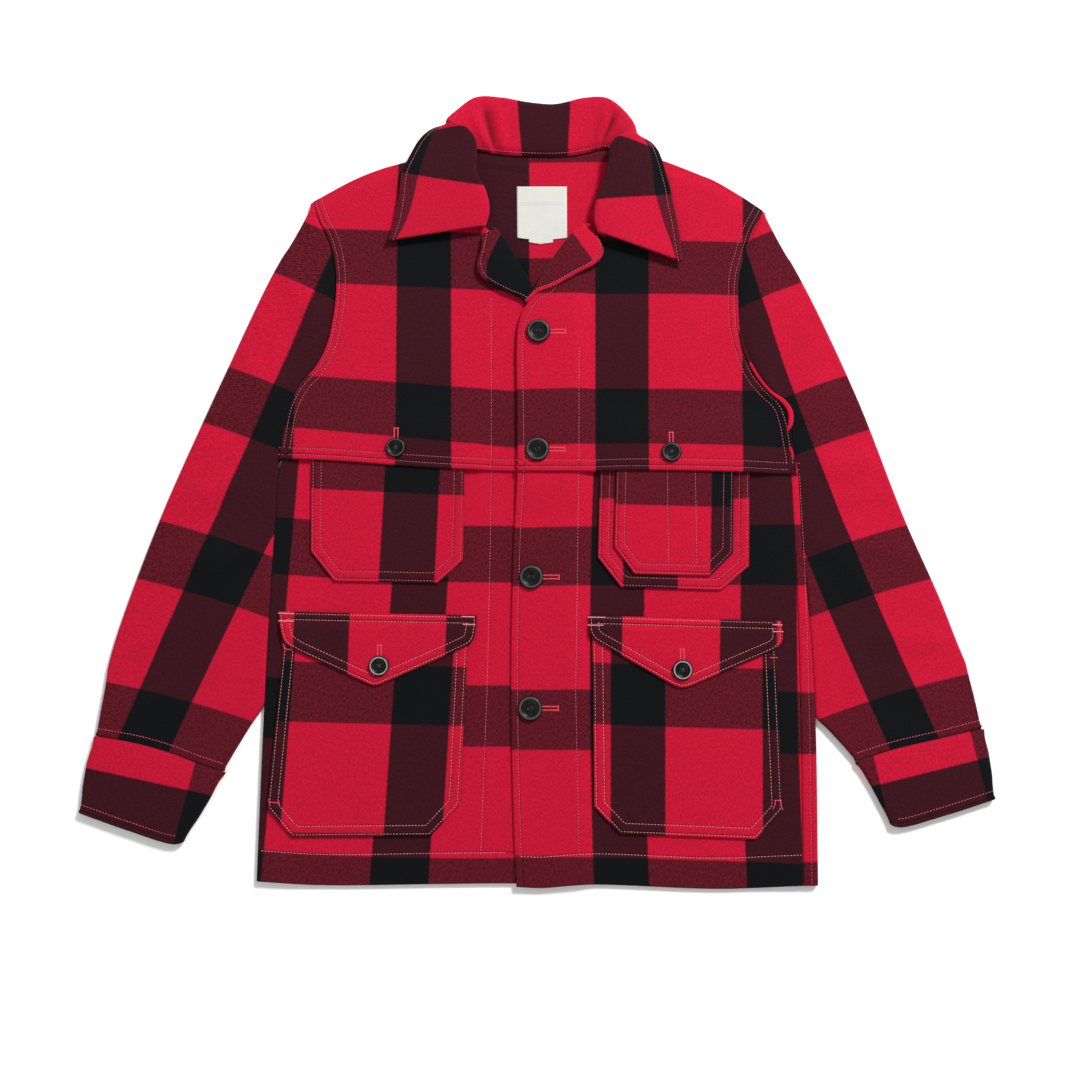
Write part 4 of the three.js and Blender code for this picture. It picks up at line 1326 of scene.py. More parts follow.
def border_rise(distance: np.ndarray, rows: Sequence[float], lift: float = BORDER_LIFT) -> np.ndarray:
    """Rise of a turned-in border up to its last row of stitches, with a dip at each row.

    Args:
        distance: how far each point lies from the edge.
        rows: how far each row of stitches does.
        lift: how much thicker the border is.

    Returns:
        One rise for each point.
    """
    rise = lift * ease(rows[-1] + 2.2, rows[-1] - 0.8, distance)
    for row in rows:
        rise = rise - dent(distance - row, 1.0, ROW_DEPTH)
    return rise


def signed_rows(distance: np.ndarray, rows: Sequence[float]) -> dict[str, np.ndarray]:
    """Distance of each point from the first and the last stitch row of a border."""
    return {"row_a": distance - rows[0], "row_b": distance - rows[-1]}


@dataclass
class Pocket:
    """Patch pocket with a turned and double-stitched border."""

    node: str
    side: Side
    top: float
    mouth: tuple[float, float]
    corners: Points
    level: int
    lay: CheckLay
    flat: tuple[float, float]
    under: str
    thread: Thread = Thread.WINE
    pen_lines: tuple[Points, ...] = ()
    rows: tuple[float, float] = (OUTER_ROW, 10.1)
    step: float = 4.0

    def height(self, x: np.ndarray, y: np.ndarray) -> np.ndarray:
        """Middle of the pocket's cloth."""
        return front_z(self.side)(x, y) + self.level * LAY

    def build(self, shop: Shop) -> None:
        """Builds the pocket and sews its border.

        Args:
            shop: the cloth's finish, the sewing and the settling of pieces.
        """
        first, second, third, fourth = (np.array(c, float) for c in self.corners)
        low, high = ((x, self.top) for x in self.mouth)
        bottom = Chain([(Run([first, second]), 1), (Run([second, third]), 5), (Run([third, fourth]), 1)])
        patch = Patch(bottom, Run([low, high]), Run([first, low]), Run([fourth, high]))
        us = stations(self.flat[0] / MM, self.step, BORDER, bottom.breaks[1:-1])
        vs = stations(self.flat[1] / MM, self.step, BORDER, (), both=False)
        xy = patch.grid(us, vs)
        border = np.array([low, first, second, third, fourth, high])
        away = distance_to(border, xy)
        marks = signed_rows(away, self.rows)
        rise = border_rise(away, self.rows) * ease(self.top + 1, self.top - 16, xy[..., 1])
        lines = [np.array(line, float) for line in self.pen_lines]
        if lines:
            marks["line"] = np.min([distance_to(line, xy) for line in lines], axis=0)
            rise = rise - dent(marks["line"], 1.4, 0.35)
        sheet = Sheet(upright(xy, at(self.height, xy)), at(self.lay.numbers, xy), rows=marks, outer_rise=rise)
        shop.lay(self.node, sheet, self.flat, [self.under])
        for row in self.rows:
            shop.sewing.row(offset_line(border, row), self.height, self.thread, sink=-0.18)
        for line in lines:
            shop.sewing.row(line, self.height, self.thread, sink=0.2)


@dataclass
class Flap:
    """Pointed flap of a hip pocket, sewn along its top."""

    node: str
    side: Side
    sewn: Points
    free: tuple[Points, ...]
    lay: CheckLay
    flat: tuple[float, float]
    under: str
    rows: tuple[float, float] = (OUTER_ROW, 9.6)
    sewn_rows: tuple[float, float] = (OUTER_ROW, 8.0)
    weights: tuple[float, ...] = (2, 2.7, 0.6, 2.7, 2)
    step: float = 3.0

    def build(self, shop: Shop) -> None:
        """Builds the flap and sews its edges.

        Args:
            shop: the cloth's finish, the sewing and the settling of pieces.
        """
        bottom = Chain([(Run(run), weight) for run, weight in zip(self.free, self.weights)])
        patch = Patch(bottom, Run(self.sewn), Run([self.free[0][0], self.sewn[0]]),
                      Run([self.free[-1][-1], self.sewn[1]]))
        us = stations(self.flat[0] / MM, self.step, BORDER, bottom.breaks[1:-1])
        vs = stations(self.flat[1] / MM, self.step, BORDER)
        xy = patch.grid(us, vs)
        top = np.array(self.sewn, float)
        free = np.vstack([top[:1], bottom(np.linspace(0, 1, 80)), top[1:]])
        away, from_top = distance_to(free, xy), distance_to(top, xy)
        inner = from_top - self.sewn_rows[-1]
        rise = np.maximum(border_rise(away, self.rows),
                          border_rise(from_top, self.sewn_rows) * ease(1, 4, away))
        rise = rise - dent(inner, 1.0, ROW_DEPTH) * ease(3, 8, away)
        marks = {**signed_rows(away, self.rows), "line": inner}
        z = flap_z(self.side)
        sheet = Sheet(upright(xy, at(z, xy)), at(self.lay.numbers, xy), rows=marks, outer_rise=rise)
        shop.lay(self.node, sheet, self.flat, [self.under])
        for row in self.rows:
            shop.sewing.row(thinned(offset_line(free, row), 1.0)[2:-2], z, Thread.PALE, sink=-0.18)
        for row in self.sewn_rows:
            shop.sewing.row(thinned(offset_line(top, -row), 1.0)[3:-3], z, Thread.PALE, sink=-0.18)


@dataclass
class Fronts:
    """The two fronts below the yoke, the back with its side strip, and their hems and facings."""

    facing_right: Points = ((491, 300), (491.5, 380), (491.5, 470), (490, 560), (487, 690), (480, 870))
    facing_left: Points = ((579, 350), (578.6, 470), (577, 600), (575.5, 690), (579.5, 870))
    hem_row: float = 29.0
    step: float = 3.6
    height: float = 424.0
    width_right: float = 292.0
    width_left: float = 275.0
    top_corner_left: tuple[float, float] = (249, FRONT_TOP_Y)
    plate_step: float = 7.0
    plate_size: tuple[float, float] = (520.0, 700.0)
    plain_shift: float = 0.43
    strip_tuck: float = 3.0
    right_lay: CheckLay = CheckLay(
        stripes=((391, 600, 0), (446.5, 600, .365), (371, 865, 0), (429.5, 865, .365),
                 (290.7, 550, -.635), (288, 600, -.635), (268, 800, -.635), (263.5, 865, -.635)),
        bands=((279, 518, 0), (277, 578, .365), (380, 523, 0), (380, 580, .365), (510, 524, 0),
               (510, 582, .365), (470, 687, 1), (470, 748, 1.365), (510, 687, 1), (510, 748, 1.365),
               (275, 671, 1), (270, 737, 1.365), (260, 853, 2), (380, 857.5, 2), (440, 856.5, 2),
               (515, 855.5, 2)), freedom=5)
    left_lay: CheckLay = CheckLay(
        stripes=((590.5, 600, 0), (644, 600, .365), (741, 600, 1), (796, 600, 1.365), (594, 860, 0),
                 (646.5, 860, .365), (746.5, 860, 1), (803, 860, 1.365), (592, 500, 0),
                 (742.5, 500, 1)),
        bands=((520, 528, 0), (520, 586, .365), (600, 527, 0), (600, 584, .365), (790, 526, 0),
               (790, 583, .365), (520, 690, 1), (520, 750, 1.365), (590, 690, 1), (590, 750, 1.365),
               (800, 693, 1), (800, 755, 1.365), (520, 856, 2), (800, 863, 2)))
    inside_lay: CheckLay = CheckLay(
        stripes=((474, 200, 0), (529.5, 165, .365), (529.5, 290, .365)),
        bands=((500, 162, .365), (575, 161, .365), (545, 257, 1), (575, 257, 1)))
    strip_lay: CheckLay = CheckLay(
        stripes=((797, 480, .55), (803, 860, .55)),
        bands=((800, 526, 0), (803, 583, .365), (812, 693, 1), (812, 755, 1.365), (816, 861, 2)))

    def _front(self, shop: Shop, side: Side, xy: np.ndarray, lay: CheckLay, hem: np.ndarray,
               facing: np.ndarray, edge: Optional[np.ndarray], flat: tuple[float, float]) -> None:
        """One front: hemmed and faced, and rolled under at its side where it is the right one.

        Args:
            shop: the cloth's finish and the sewing.
            side: which of the two.
            xy: its places, seen from above.
            lay: how its check lies.
            hem: line of its lower edge.
            facing: line of the stitches that hold its facing.
            edge: line of its free front edge, where that shows.
            flat: size of its flat cut, in metres.
        """
        from_hem = distance_to(hem, xy)
        from_facing = distance_to(facing, xy)
        rise = 0.45 * ease(self.hem_row + 2, self.hem_row - 1, from_hem)
        rise = rise - dent(from_hem - self.hem_row, 1.2, 0.5) - dent(from_facing, 1.6, 0.35)
        marks = {"row_a": from_hem - self.hem_row, "line": from_facing}
        if edge is not None:
            from_edge = distance_to(edge, xy)
            marks["row_b"] = from_edge - EDGE_ROW
            rise = rise + 0.6 * ease(9, 5, from_edge) - dent(marks["row_b"], 1.1, ROW_DEPTH)
        grid = upright(xy, at(front_z(side), xy))
        check = at(lay.numbers, xy)
        if side is Side.RIGHT:
            tail = self._roll_under(grid)
            count = tail.shape[1]
            mirrored = 2 * tail[:, -1:, 0].repeat(count, 1) - tail[..., 0]
            grid = np.concatenate([tail, grid], 1)
            check = np.concatenate([lay.numbers(mirrored, tail[..., 1]), check], 1)
            rise = np.concatenate([np.zeros(tail.shape[:2]), rise], 1)
            marks = {key: np.concatenate([mark[:, :1].repeat(count, 1), mark], 1)
                     for key, mark in marks.items()}
        sheet = Sheet(grid, check, rows=marks, outer_rise=rise)
        shop.lay(f"front_{side.name.lower()}", sheet, flat, ["back_panel"])

    @staticmethod
    def _roll_under(grid: np.ndarray) -> np.ndarray:
        """Carries the side edge round and under.

        Args:
            grid: the front, as [row, column, xyz].

        Returns:
            Columns of points, outermost first.
        """
        x, y, z = grid[:, 0].T
        radius = (z - BACK_Z) / 2
        columns = [np.stack([x + SIDE_TAIL * share, y, np.full(len(x), BACK_Z)], 1)
                   for share in (1, 0.75, 0.4)]
        for angle in np.linspace(-math.pi / 2, math.pi / 2, 11)[:-1]:
            columns.append(np.stack([x - radius * math.cos(angle), y,
                                     BACK_Z + radius * (1 + math.sin(angle))], 1))
        return np.stack(columns, 1)

    def build(self, shop: Shop) -> None:
        """Builds the back, both fronts and their stitching.

        Args:
            shop: the cloth's finish, the sewing and the settling of pieces.
        """
        self._build_back(shop)
        self._build_right(shop)
        self._build_left(shop)

    def _rows_up(self) -> np.ndarray:
        """Shares up a front at which its grid has lines, closer beside the hem's stitches."""
        return stations(self.height, self.step,
                        LIP + tuple(self.hem_row + k for k in (-2, -0.8, 0, 0.9, 2.1)))

    def _build_right(self, shop: Shop) -> None:
        """The right front, whose free edge lies beneath the left one.

        Args:
            shop: the cloth's finish, the sewing and the settling of pieces.
        """
        side = Run(SIDE_RIGHT)
        inset = np.array([ROLL_INSET, 0])
        hem = Run([tuple(SIDE_RIGHT[0] + inset), *HEM_RIGHT[1:]])
        patch = Patch(
            bottom=hem,
            top=Run([(SIDE_RIGHT[-1][0] + ROLL_INSET, FRONT_TOP_Y), (UNDERLAP_X, FRONT_TOP_Y)]),
            left=lambda v: side(v) + inset,
            right=Run([HEM_RIGHT[-1], (UNDERLAP_X, FRONT_TOP_Y)]),
        )
        xy = patch.grid(stations(self.width_right, self.step, LIP), self._rows_up())
        hem_line = hem(np.linspace(0, 1, 40))
        facing = VIEW.line(self.facing_right)
        self._front(shop, Side.RIGHT, xy, self.right_lay, hem_line, facing, None, (0.33, 0.43))
        shop.sewing.row(offset_line(hem_line, self.hem_row)[:-8], front_right_z, Thread.PALE, sink=0.1)
        shop.sewing.row(facing[facing[:, 1] < 8], front_right_z, Thread.WINE, sink=0.15)

    def _build_left(self, shop: Shop) -> None:
        """The left front, which laps over the right one.

        Args:
            shop: the cloth's finish, the sewing and the settling of pieces.
        """
        edge, hem = Run(FRONT_EDGE_LEFT), Run(HEM_LEFT)
        corner = self.top_corner_left
        patch = Patch(bottom=hem, top=Run([FRONT_EDGE_LEFT[-1], corner]), left=edge,
                      right=Chain([(Run(SIDE_SEAM_LEFT), 10), (Run([SIDE_SEAM_LEFT[-1], corner]), 1)]))
        near = LIP + (3.2, 5.2, 6.0, 6.6, 7.3, 8.4, 10.0)
        xy = patch.grid(stations(self.width_left, self.step, near), self._rows_up())
        hem_line, edge_line = hem(np.linspace(0, 1, 40)), edge(np.linspace(0, 1, 60))
        facing = VIEW.line(self.facing_left)
        self._front(shop, Side.LEFT, xy, self.left_lay, hem_line, facing, edge_line, (0.285, 0.43))
        shop.sewing.row(offset_line(hem_line, self.hem_row), front_left_z, Thread.PALE, sink=0.1)
        shop.sewing.row(offset_line(edge_line, -EDGE_ROW)[:-3], front_left_z, Thread.WINE, sink=0.1)
        shop.sewing.row(facing[facing[:, 1] < 8], front_left_z, Thread.WINE, sink=0.15)

    def _build_back(self, shop: Shop) -> None:
        """The back, flat on the surface, whose left edge rolls up over the fold to the side seam.

        Args:
            shop: the cloth's finish, the sewing and the settling of pieces.
        """
        plate_sheet, strip_sheet = self._back_plate(), self._back_strip()
        plate = wall("cloth_back_plate", plate_sheet, CLOTH, shop.wool)
        strip = wall("cloth_back_strip", strip_sheet, CLOTH, shop.wool)
        bpy.ops.object.select_all(action="DESELECT")
        bpy.context.view_layer.objects.active = plate
        for piece in (plate, strip):
            piece.select_set(True)
        bpy.ops.object.join()
        plate.select_set(False)
        plate.name = "cloth_back_panel"
        shop.settle(plate, "back_panel")
        plate_sheet.area() + strip_sheet.area()
        seam = Run(SIDE_SEAM_LEFT)(np.linspace(0, 1, 60))
        shop.sewing.row(seam + (SEAM_STRIP_ROW, 0), level(FRONT_Z + EDGE_PUFF), Thread.WINE, sink=-0.15)

    def _back_plate(self) -> Sheet:
        """The part of the back that lies on the surface, with the inside of the neck's check.

        Returns:
            The sheet.
        """
        left_side, right_side = Run(SIDE_LEFT), Run(SIDE_RIGHT)
        side_share, armhole_share = 8, 6
        right = Chain([(lambda t: left_side(t) - (ROLL_INSET, 0), side_share),
                       (Run(ARMHOLE_LEFT[::-1]), armhole_share)])
        armhole = Run([p for p in ARMHOLE_RIGHT if p[1] > SIDE_RIGHT[-1][1] + 3][::-1])
        under = ROLL_INSET + SIDE_TAIL + GAP
        left = Chain([(lambda t: right_side(t) + (under, 0), side_share), (armhole, armhole_share)])
        neck = Run([NECK_BACK[0], *((x, y + NECK_TURN) for x, y in NECK_BACK[1:-1]), NECK_BACK[-1]])
        top = Chain([(Run(SHOULDER_RIGHT), 5), (neck, 5), (Run(SHOULDER_LEFT), 5)])
        width, height = self.plate_size
        us = np.unique(np.r_[stations(width, self.plate_step, LIP, top.breaks[1:-1]),
                             np.arange(0.466, 0.492, 0.002)])
        vs = stations(height, self.plate_step, LIP, left.breaks[1:-1])
        xy = Patch(bottom=Run(HEM_BACK), top=top, left=left, right=right).grid(us, vs)
        inner = at(self.inside_lay.numbers, xy)
        under_seam = (inner[..., 0] < DARK_SHARE) & (inner[..., 1] < DARK_SHARE + 0.03)
        inner[..., 1] += np.where(under_seam, self.plain_shift, 0)
        return Sheet(upright(xy, BACK_Z), inner, under_check=at(self.strip_lay.numbers, xy))

    def _back_strip(self) -> Sheet:
        """The strip that rolls up over the left fold and lies down to the side seam.

        Returns:
            The sheet.
        """
        ts = stations(402, 4.0, LIP + (27, 28, 29, 30, 31))
        edge = Run(SIDE_LEFT)(ts)
        centre, y = edge[:, 0] - ROLL_INSET, edge[:, 1]
        columns = [(centre - self.strip_tuck, BACK_Z)]
        for angle in np.linspace(-math.pi / 2, math.pi / 2, 13):
            columns.append((centre + ROLL_RADIUS * math.cos(angle),
                            BACK_Z + ROLL_RADIUS * (1 + math.sin(angle))))
        end = Run(SIDE_SEAM_LEFT)(ts)[:, 0] + GAP
        for share in (0.25, 0.5, 0.75, 0.92, 1.0):
            columns.append((centre + (end - centre) * share, FRONT_Z + EDGE_PUFF))
        strip = np.stack([upright(np.stack([x, y], 1), z) for x, z in columns], 1)
        run = np.cumsum(np.linalg.norm(np.diff(strip, axis=1), axis=-1), 1)
        run = np.hstack([np.zeros((len(ts), 1)), run])
        check = self.strip_lay.numbers(centre[:, None] - self.strip_tuck + run, strip[..., 1])
        from_seam = run[:, -1:] - run
        return Sheet(strip, check, rows={"row_a": from_seam - SEAM_STRIP_ROW},
                     outer_rise=0.3 * ease(11, 8, from_seam))


@dataclass
class Yokes:
    """The two halves of the front yoke, with a free lower edge that buttons down."""

    rows: tuple[float, float] = (4.6, 11.4)
    armhole_rows: tuple[float, float] = (3.6, 9.6)
    width: float = 280.0
    tall: float = 300.0
    step: float = 3.6
    right_lay: CheckLay = CheckLay(
        stripes=((397, 300, 0), (397, 445, 0), (451, 300, .365), (451, 445, .365), (293.5, 440, -.635)),
        bands=((383, 229, 0), (383, 281, .365), (340, 234, 0), (340, 283, .365), (454, 291, .365),
               (430, 288, .365), (300, 376, 1), (300, 428, 1.365), (397, 384, 1), (397, 437, 1.365),
               (450, 390, 1), (450, 443, 1.365), (510, 391, 1), (510, 446, 1.365)))
    left_lay: CheckLay = CheckLay(
        stripes=((595.5, 300, 0), (648, 300, .365), (595.5, 460, 0), (648, 460, .365), (742.5, 300, 1),
                 (742.5, 460, 1), (795, 460, 1.365)),
        bands=((595.5, 243, 0), (595.5, 293.5, .365), (595.5, 391, 1), (595.5, 446, 1.365),
               (739, 245, 0), (738, 297, .365), (685, 239, 0), (690, 292, .365), (748, 392, 1),
               (748, 446, 1.365), (520, 390, 1), (520, 446, 1.365), (560, 296, .365)))

    @staticmethod
    def sunk(height: Height, shoulder: np.ndarray) -> Height:
        """Height that sinks onto the back along the shoulder seam.

        Args:
            height: how high the yoke lies.
            shoulder: the shoulder seam's line.

        Returns:
            The sunk height.
        """
        def lower(x: np.ndarray, y: np.ndarray) -> np.ndarray:
            """The sunk height at places x, y."""
            near = distance_to(shoulder, np.stack([x, y], -1))
            return height(x, y) - SHOULDER_DROP * ease(SHOULDER_REACH, 0, near)
        return lower

    def build(self, shop: Shop) -> None:
        """Builds both halves and their stitching.

        Args:
            shop: the cloth's finish, the sewing and the settling of pieces.
        """
        front_end = (UNDERLAP_X, 172)
        right_top = Chain([(Run(SHOULDER_RIGHT), 6), (Run(NECK_RIGHT), 3), (Run(ROLL_EDGE_RIGHT), 3),
                           (Run([ROLL_EDGE_RIGHT[-1], front_end]), 1)])
        right = Patch(bottom=Run(YOKE_EDGE_RIGHT), top=right_top, left=Run(ARMHOLE_RIGHT[::-1]),
                      right=Run([YOKE_EDGE_RIGHT[-1], front_end]))
        left_edge = Chain([(Run(YOKE_FRONT_LEFT), 7), (Run(ROLL_EDGE_LEFT), 3), (Run(NECK_LEFT), 3)])
        left = Patch(bottom=Run(YOKE_EDGE_LEFT), top=Run(SHOULDER_LEFT), left=left_edge,
                     right=Run(ARMHOLE_LEFT[::-1]))
        self._yoke(shop, Side.RIGHT, right, (right_top.breaks[1:-1], ()), (0.30, 0.30), self.right_lay,
                   VIEW.line(Fronts.facing_right))
        self._yoke(shop, Side.LEFT, left, ((), left_edge.breaks[1:-1]), (0.29, 0.35), self.left_lay,
                   VIEW.line(Fronts.facing_left))

    def _yoke(self, shop: Shop, side: Side, patch: Patch, breaks: tuple[Sequence[float], Sequence[float]],
              flat: tuple[float, float], lay: CheckLay, facing: np.ndarray) -> None:
        """One half of the yoke.

        Args:
            shop: the cloth's finish and the sewing.
            side: which half.
            patch: its four sides.
            breaks: shares across and up at which a side has corners.
            flat: size of its flat cut, in metres.
            lay: how its check lies.
            facing: line of the stitches that hold the facing.
        """
        near = LIP + (2.6, 3.8, 4.6, 5.4, 6.8, 8.6, 9.8, 11.4, 12.6, 14.5)
        xy = patch.grid(stations(self.width, self.step, near, breaks[0]),
                        stations(self.tall, self.step, near, breaks[1]))
        t = np.linspace(0, 1, 60)
        hem, shoulder, armhole = (
            Run(run)(t) for run in ((YOKE_EDGE_RIGHT, SHOULDER_RIGHT, ARMHOLE_RIGHT[::-1])
                                    if side is Side.RIGHT else
                                    (YOKE_EDGE_LEFT, SHOULDER_LEFT, ARMHOLE_LEFT[::-1])))
        height = self.sunk(yoke_right_z if side is Side.RIGHT else yoke_left_z, shoulder)
        facing = facing[facing[:, 1] > -5]
        from_hem, from_arm, from_line = (distance_to(line, xy) for line in (hem, armhole, facing))
        rise = np.maximum(border_rise(from_hem, self.rows, 0.6),
                          border_rise(from_arm, self.armhole_rows, 0.6))
        arm_near = from_arm + 3 < from_hem
        row_a, row_b = (np.where(arm_near, from_arm - arm_row, from_hem - hem_row)
                        for arm_row, hem_row in zip(self.armhole_rows, self.rows))
        line = from_line
        if side is Side.LEFT:
            front_edge = np.vstack([Run(YOKE_FRONT_LEFT)(t), Run(ROLL_EDGE_LEFT)(t)])
            from_edge = distance_to(front_edge, xy)
            rise = rise + 0.6 * ease(9, 5, from_edge)
            line = np.where(np.abs(from_edge - EDGE_ROW) < from_line, from_edge - EDGE_ROW, from_line)
        rise = rise - dent(line, 1.3, 0.4)
        sheet = Sheet(upright(xy, at(height, xy)), at(lay.numbers, xy),
                      rows={"row_a": row_a, "row_b": row_b, "line": line}, outer_rise=rise)
        shop.lay(f"yoke_{side.name.lower()}", sheet, flat, ["front_right", "front_left", "back_panel"])
        for row in self.rows:
            shop.sewing.row(offset_line(hem, row), height, Thread.WINE, sink=-0.1)
        for row in self.armhole_rows:
            inward = offset_line(armhole, side.value * row)[2:]
            shop.sewing.row(inward, height, Thread.WINE, sink=-0.1)
        shop.sewing.row(facing, height, Thread.WINE, sink=0.2)
        if side is Side.LEFT:
            shop.sewing.row(offset_line(front_edge, -EDGE_ROW), height, Thread.WINE, sink=0.0)


@dataclass
class SeamRoll:
    """Turned edge that shows as a thin roll along the left armhole seam."""

    run: Points
    width: float
    dark_until: float = 0.0
    swell: float = 0.0
    half_thickness: float = 1.15
    rings: int = 60
    sides: int = 14

    def build(self, shop: Shop, name: str, z: float) -> None:
        """Builds the roll as a slim flattened bar of cloth on the seam.

        Args:
            shop: the cloth's finish.
            name: name of the object.
            z: height of its middle.
        """
        shares = np.linspace(0, 1, self.rings)
        centre = Run(VIEW.line(self.run, z))(shares)
        along = np.gradient(centre, axis=0)
        along /= np.linalg.norm(along, axis=1, keepdims=True)
        square = np.stack([-along[:, 1], along[:, 0]], 1)
        taper = np.sqrt(np.clip(1 - (2 * shares - 1) ** 8, 0.02, 1))
        reach = self.width / 2 * taper * (1 + self.swell * ease(0.55, 0.85, shares))
        grid = np.stack([upright(centre + square * (math.cos(angle) * reach)[:, None],
                                 z + self.half_thickness * math.sin(angle) * taper)
                         for angle in np.linspace(0, math.tau, self.sides, endpoint=False)], 1)
        index = np.arange(self.rings * self.sides).reshape(self.rings, self.sides)
        index = np.hstack([index, index[:, :1]])
        faces = np.stack([index[:-1, :-1], index[1:, :-1], index[1:, 1:], index[:-1, 1:]], -1)
        number = np.where(shares < self.dark_until, DARK_SHARE / 2, PLAIN).repeat(self.sides)
        points = grid.reshape(-1, 3)
        check = np.column_stack([number, PLAIN + points[:, 0] / CHECK_REPEAT * 0.05])
        far = np.full(len(points), FAR)
        roll = mesh_object(name, points, faces.reshape(-1, 4), shop.wool, check, {k: far for k in MARKS})
        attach(roll, "root")


@dataclass
class Tube:
    """Flattened tube of cloth between an upper end, a lower end and two folded sides."""

    upper: RunLike
    lower: RunLike
    outer: RunLike
    inner: RunLike
    wall: float
    top: Callable[[np.ndarray, np.ndarray, np.ndarray, np.ndarray], np.ndarray]
    upper_decay: float
    sections: int
    middle_radius: float
    fold_points: int = 7

    def rings(self, shares: np.ndarray, across: np.ndarray) -> tuple[np.ndarray, np.ndarray]:
        """Rings of points round the tube.

        Args:
            shares: places of the rings down the tube, from 0 to 1.
            across: places of the upper layer's points from the outer to the inner fold.

        Returns:
            The rings as [ring, point, xyz], and for each point of a ring 1 on the upper layer, -1 below.
        """
        bottom = self.wall / 2
        inset = self.middle_radius + self.wall / 2
        length = float(np.linalg.norm(np.diff(self.upper(np.linspace(0, 1, 60)), axis=0), axis=1).sum())
        one, zero = np.array([1.0]), np.array([0.0])
        trim_low = inset / float(np.linalg.norm(self.lower(one) - self.lower(zero)))
        trim = inset / length

        def upper(t: np.ndarray) -> np.ndarray:
            """The upper end between the middles of its folds."""
            return self.upper(np.clip(t, trim, 1 - trim))

        def lower(t: np.ndarray) -> np.ndarray:
            """The lower end between the middles of its folds."""
            return self.lower(np.clip(t, trim_low, 1 - trim_low))

        chord = (self.upper(one) - self.upper(zero))[0]
        down = (self.outer(one) - self.outer(zero))[0]
        handed = math.copysign(1.0, chord[0] * down[1] - chord[1] * down[0])

        def fold(side: RunLike, sign: float, start: np.ndarray, end: np.ndarray) -> np.ndarray:
            """Middle of a side's fold from ring to ring, led to its two ends.

            Args:
                side: the side's edge.
                sign: 1 where the cloth lies to its left.
                start: where the fold begins.
                end: where it ends.

            Returns:
                One place for each ring.
            """
            along = side(np.minimum(shares + 0.02, 1)) - side(np.maximum(shares - 0.02, 0))
            along /= np.linalg.norm(along, axis=1, keepdims=True)
            square = np.stack([-along[:, 1], along[:, 0]], 1) * sign
            place = side(shares) - square * inset
            a = np.maximum(0, 1 - shares * self.sections)[:, None]
            b = np.maximum(0, 1 - (1 - shares) * self.sections)[:, None]
            place = place * (1 - a) + start * a
            return place * (1 - b) + end * b

        outer_fold = fold(self.outer, handed, upper(zero), lower(zero))
        inner_fold = fold(self.inner, -handed, upper(one), lower(one))

        def bulge(run: RunLike) -> np.ndarray:
            """How far an end's run lies off its chord."""
            ends_of = run(np.array([0.0, 1.0]))
            return run(across) - (ends_of[0] + (ends_of[1] - ends_of[0]) * across[:, None])

        plan = (outer_fold[:, None] * (1 - across)[None, :, None]
                + inner_fold[:, None] * across[None, :, None]
                + bulge(upper)[None] * ((1 - shares) ** self.upper_decay)[:, None, None]
                + bulge(lower)[None] * (shares**3)[:, None, None])
        s = np.repeat(shares[:, None], len(across), 1)
        a = np.repeat(across[None], len(shares), 0)
        above = np.dstack([plan, self.top(s, a, plan[..., 0], plan[..., 1])])
        below = np.dstack([plan, np.full(plan.shape[:2], bottom)])

        def arc(side: RunLike, folded: np.ndarray, edge: np.ndarray) -> np.ndarray:
            """Points round a fold from the upper layer to the lower one.

            Args:
                side: the side's edge.
                folded: middle of its fold.
                edge: the upper layer's last points.

            Returns:
                Points as [ring, point, xyz].
            """
            out = side(shares) - folded
            out /= np.maximum(np.linalg.norm(out, axis=1, keepdims=True), 1e-9)
            radius = (edge[:, 2] - bottom) / 2
            columns = []
            for k in range(1, self.fold_points + 1):
                angle = math.pi / 2 - math.pi * k / (self.fold_points + 1)
                flat = edge[:, :2] + out * (self.middle_radius * math.cos(angle))
                columns.append(np.column_stack([flat, bottom + radius * (1 + math.sin(angle))]))
            return np.stack(columns, 1)

        inner_arc = arc(self.inner, inner_fold, above[:, -1])
        outer_arc = arc(self.outer, outer_fold, above[:, 0])[:, ::-1]
        rings = np.concatenate([above, inner_arc, below[:, ::-1], outer_arc], 1)
        near = self.fold_points // 2
        far, count = self.fold_points - near, len(across)
        return rings, np.r_[np.ones(count + near), -np.ones(far + count + near), np.ones(far)]


# Shares of the way down at which a tube has rings, closer near both ends
SLEEVE_RINGS = np.unique(np.r_[0, 0.0025, 0.005, 0.009, 0.014, 0.02, 0.028,
                               np.linspace(0.036, 0.985, 118), 0.991, 0.996, 0.9985, 1])
CUFF_RINGS = np.unique(np.r_[0, 0.008, 0.02, np.linspace(0.04, 0.96, 22), 0.885, 0.9, 0.915,
                             0.98, 0.992, 1])


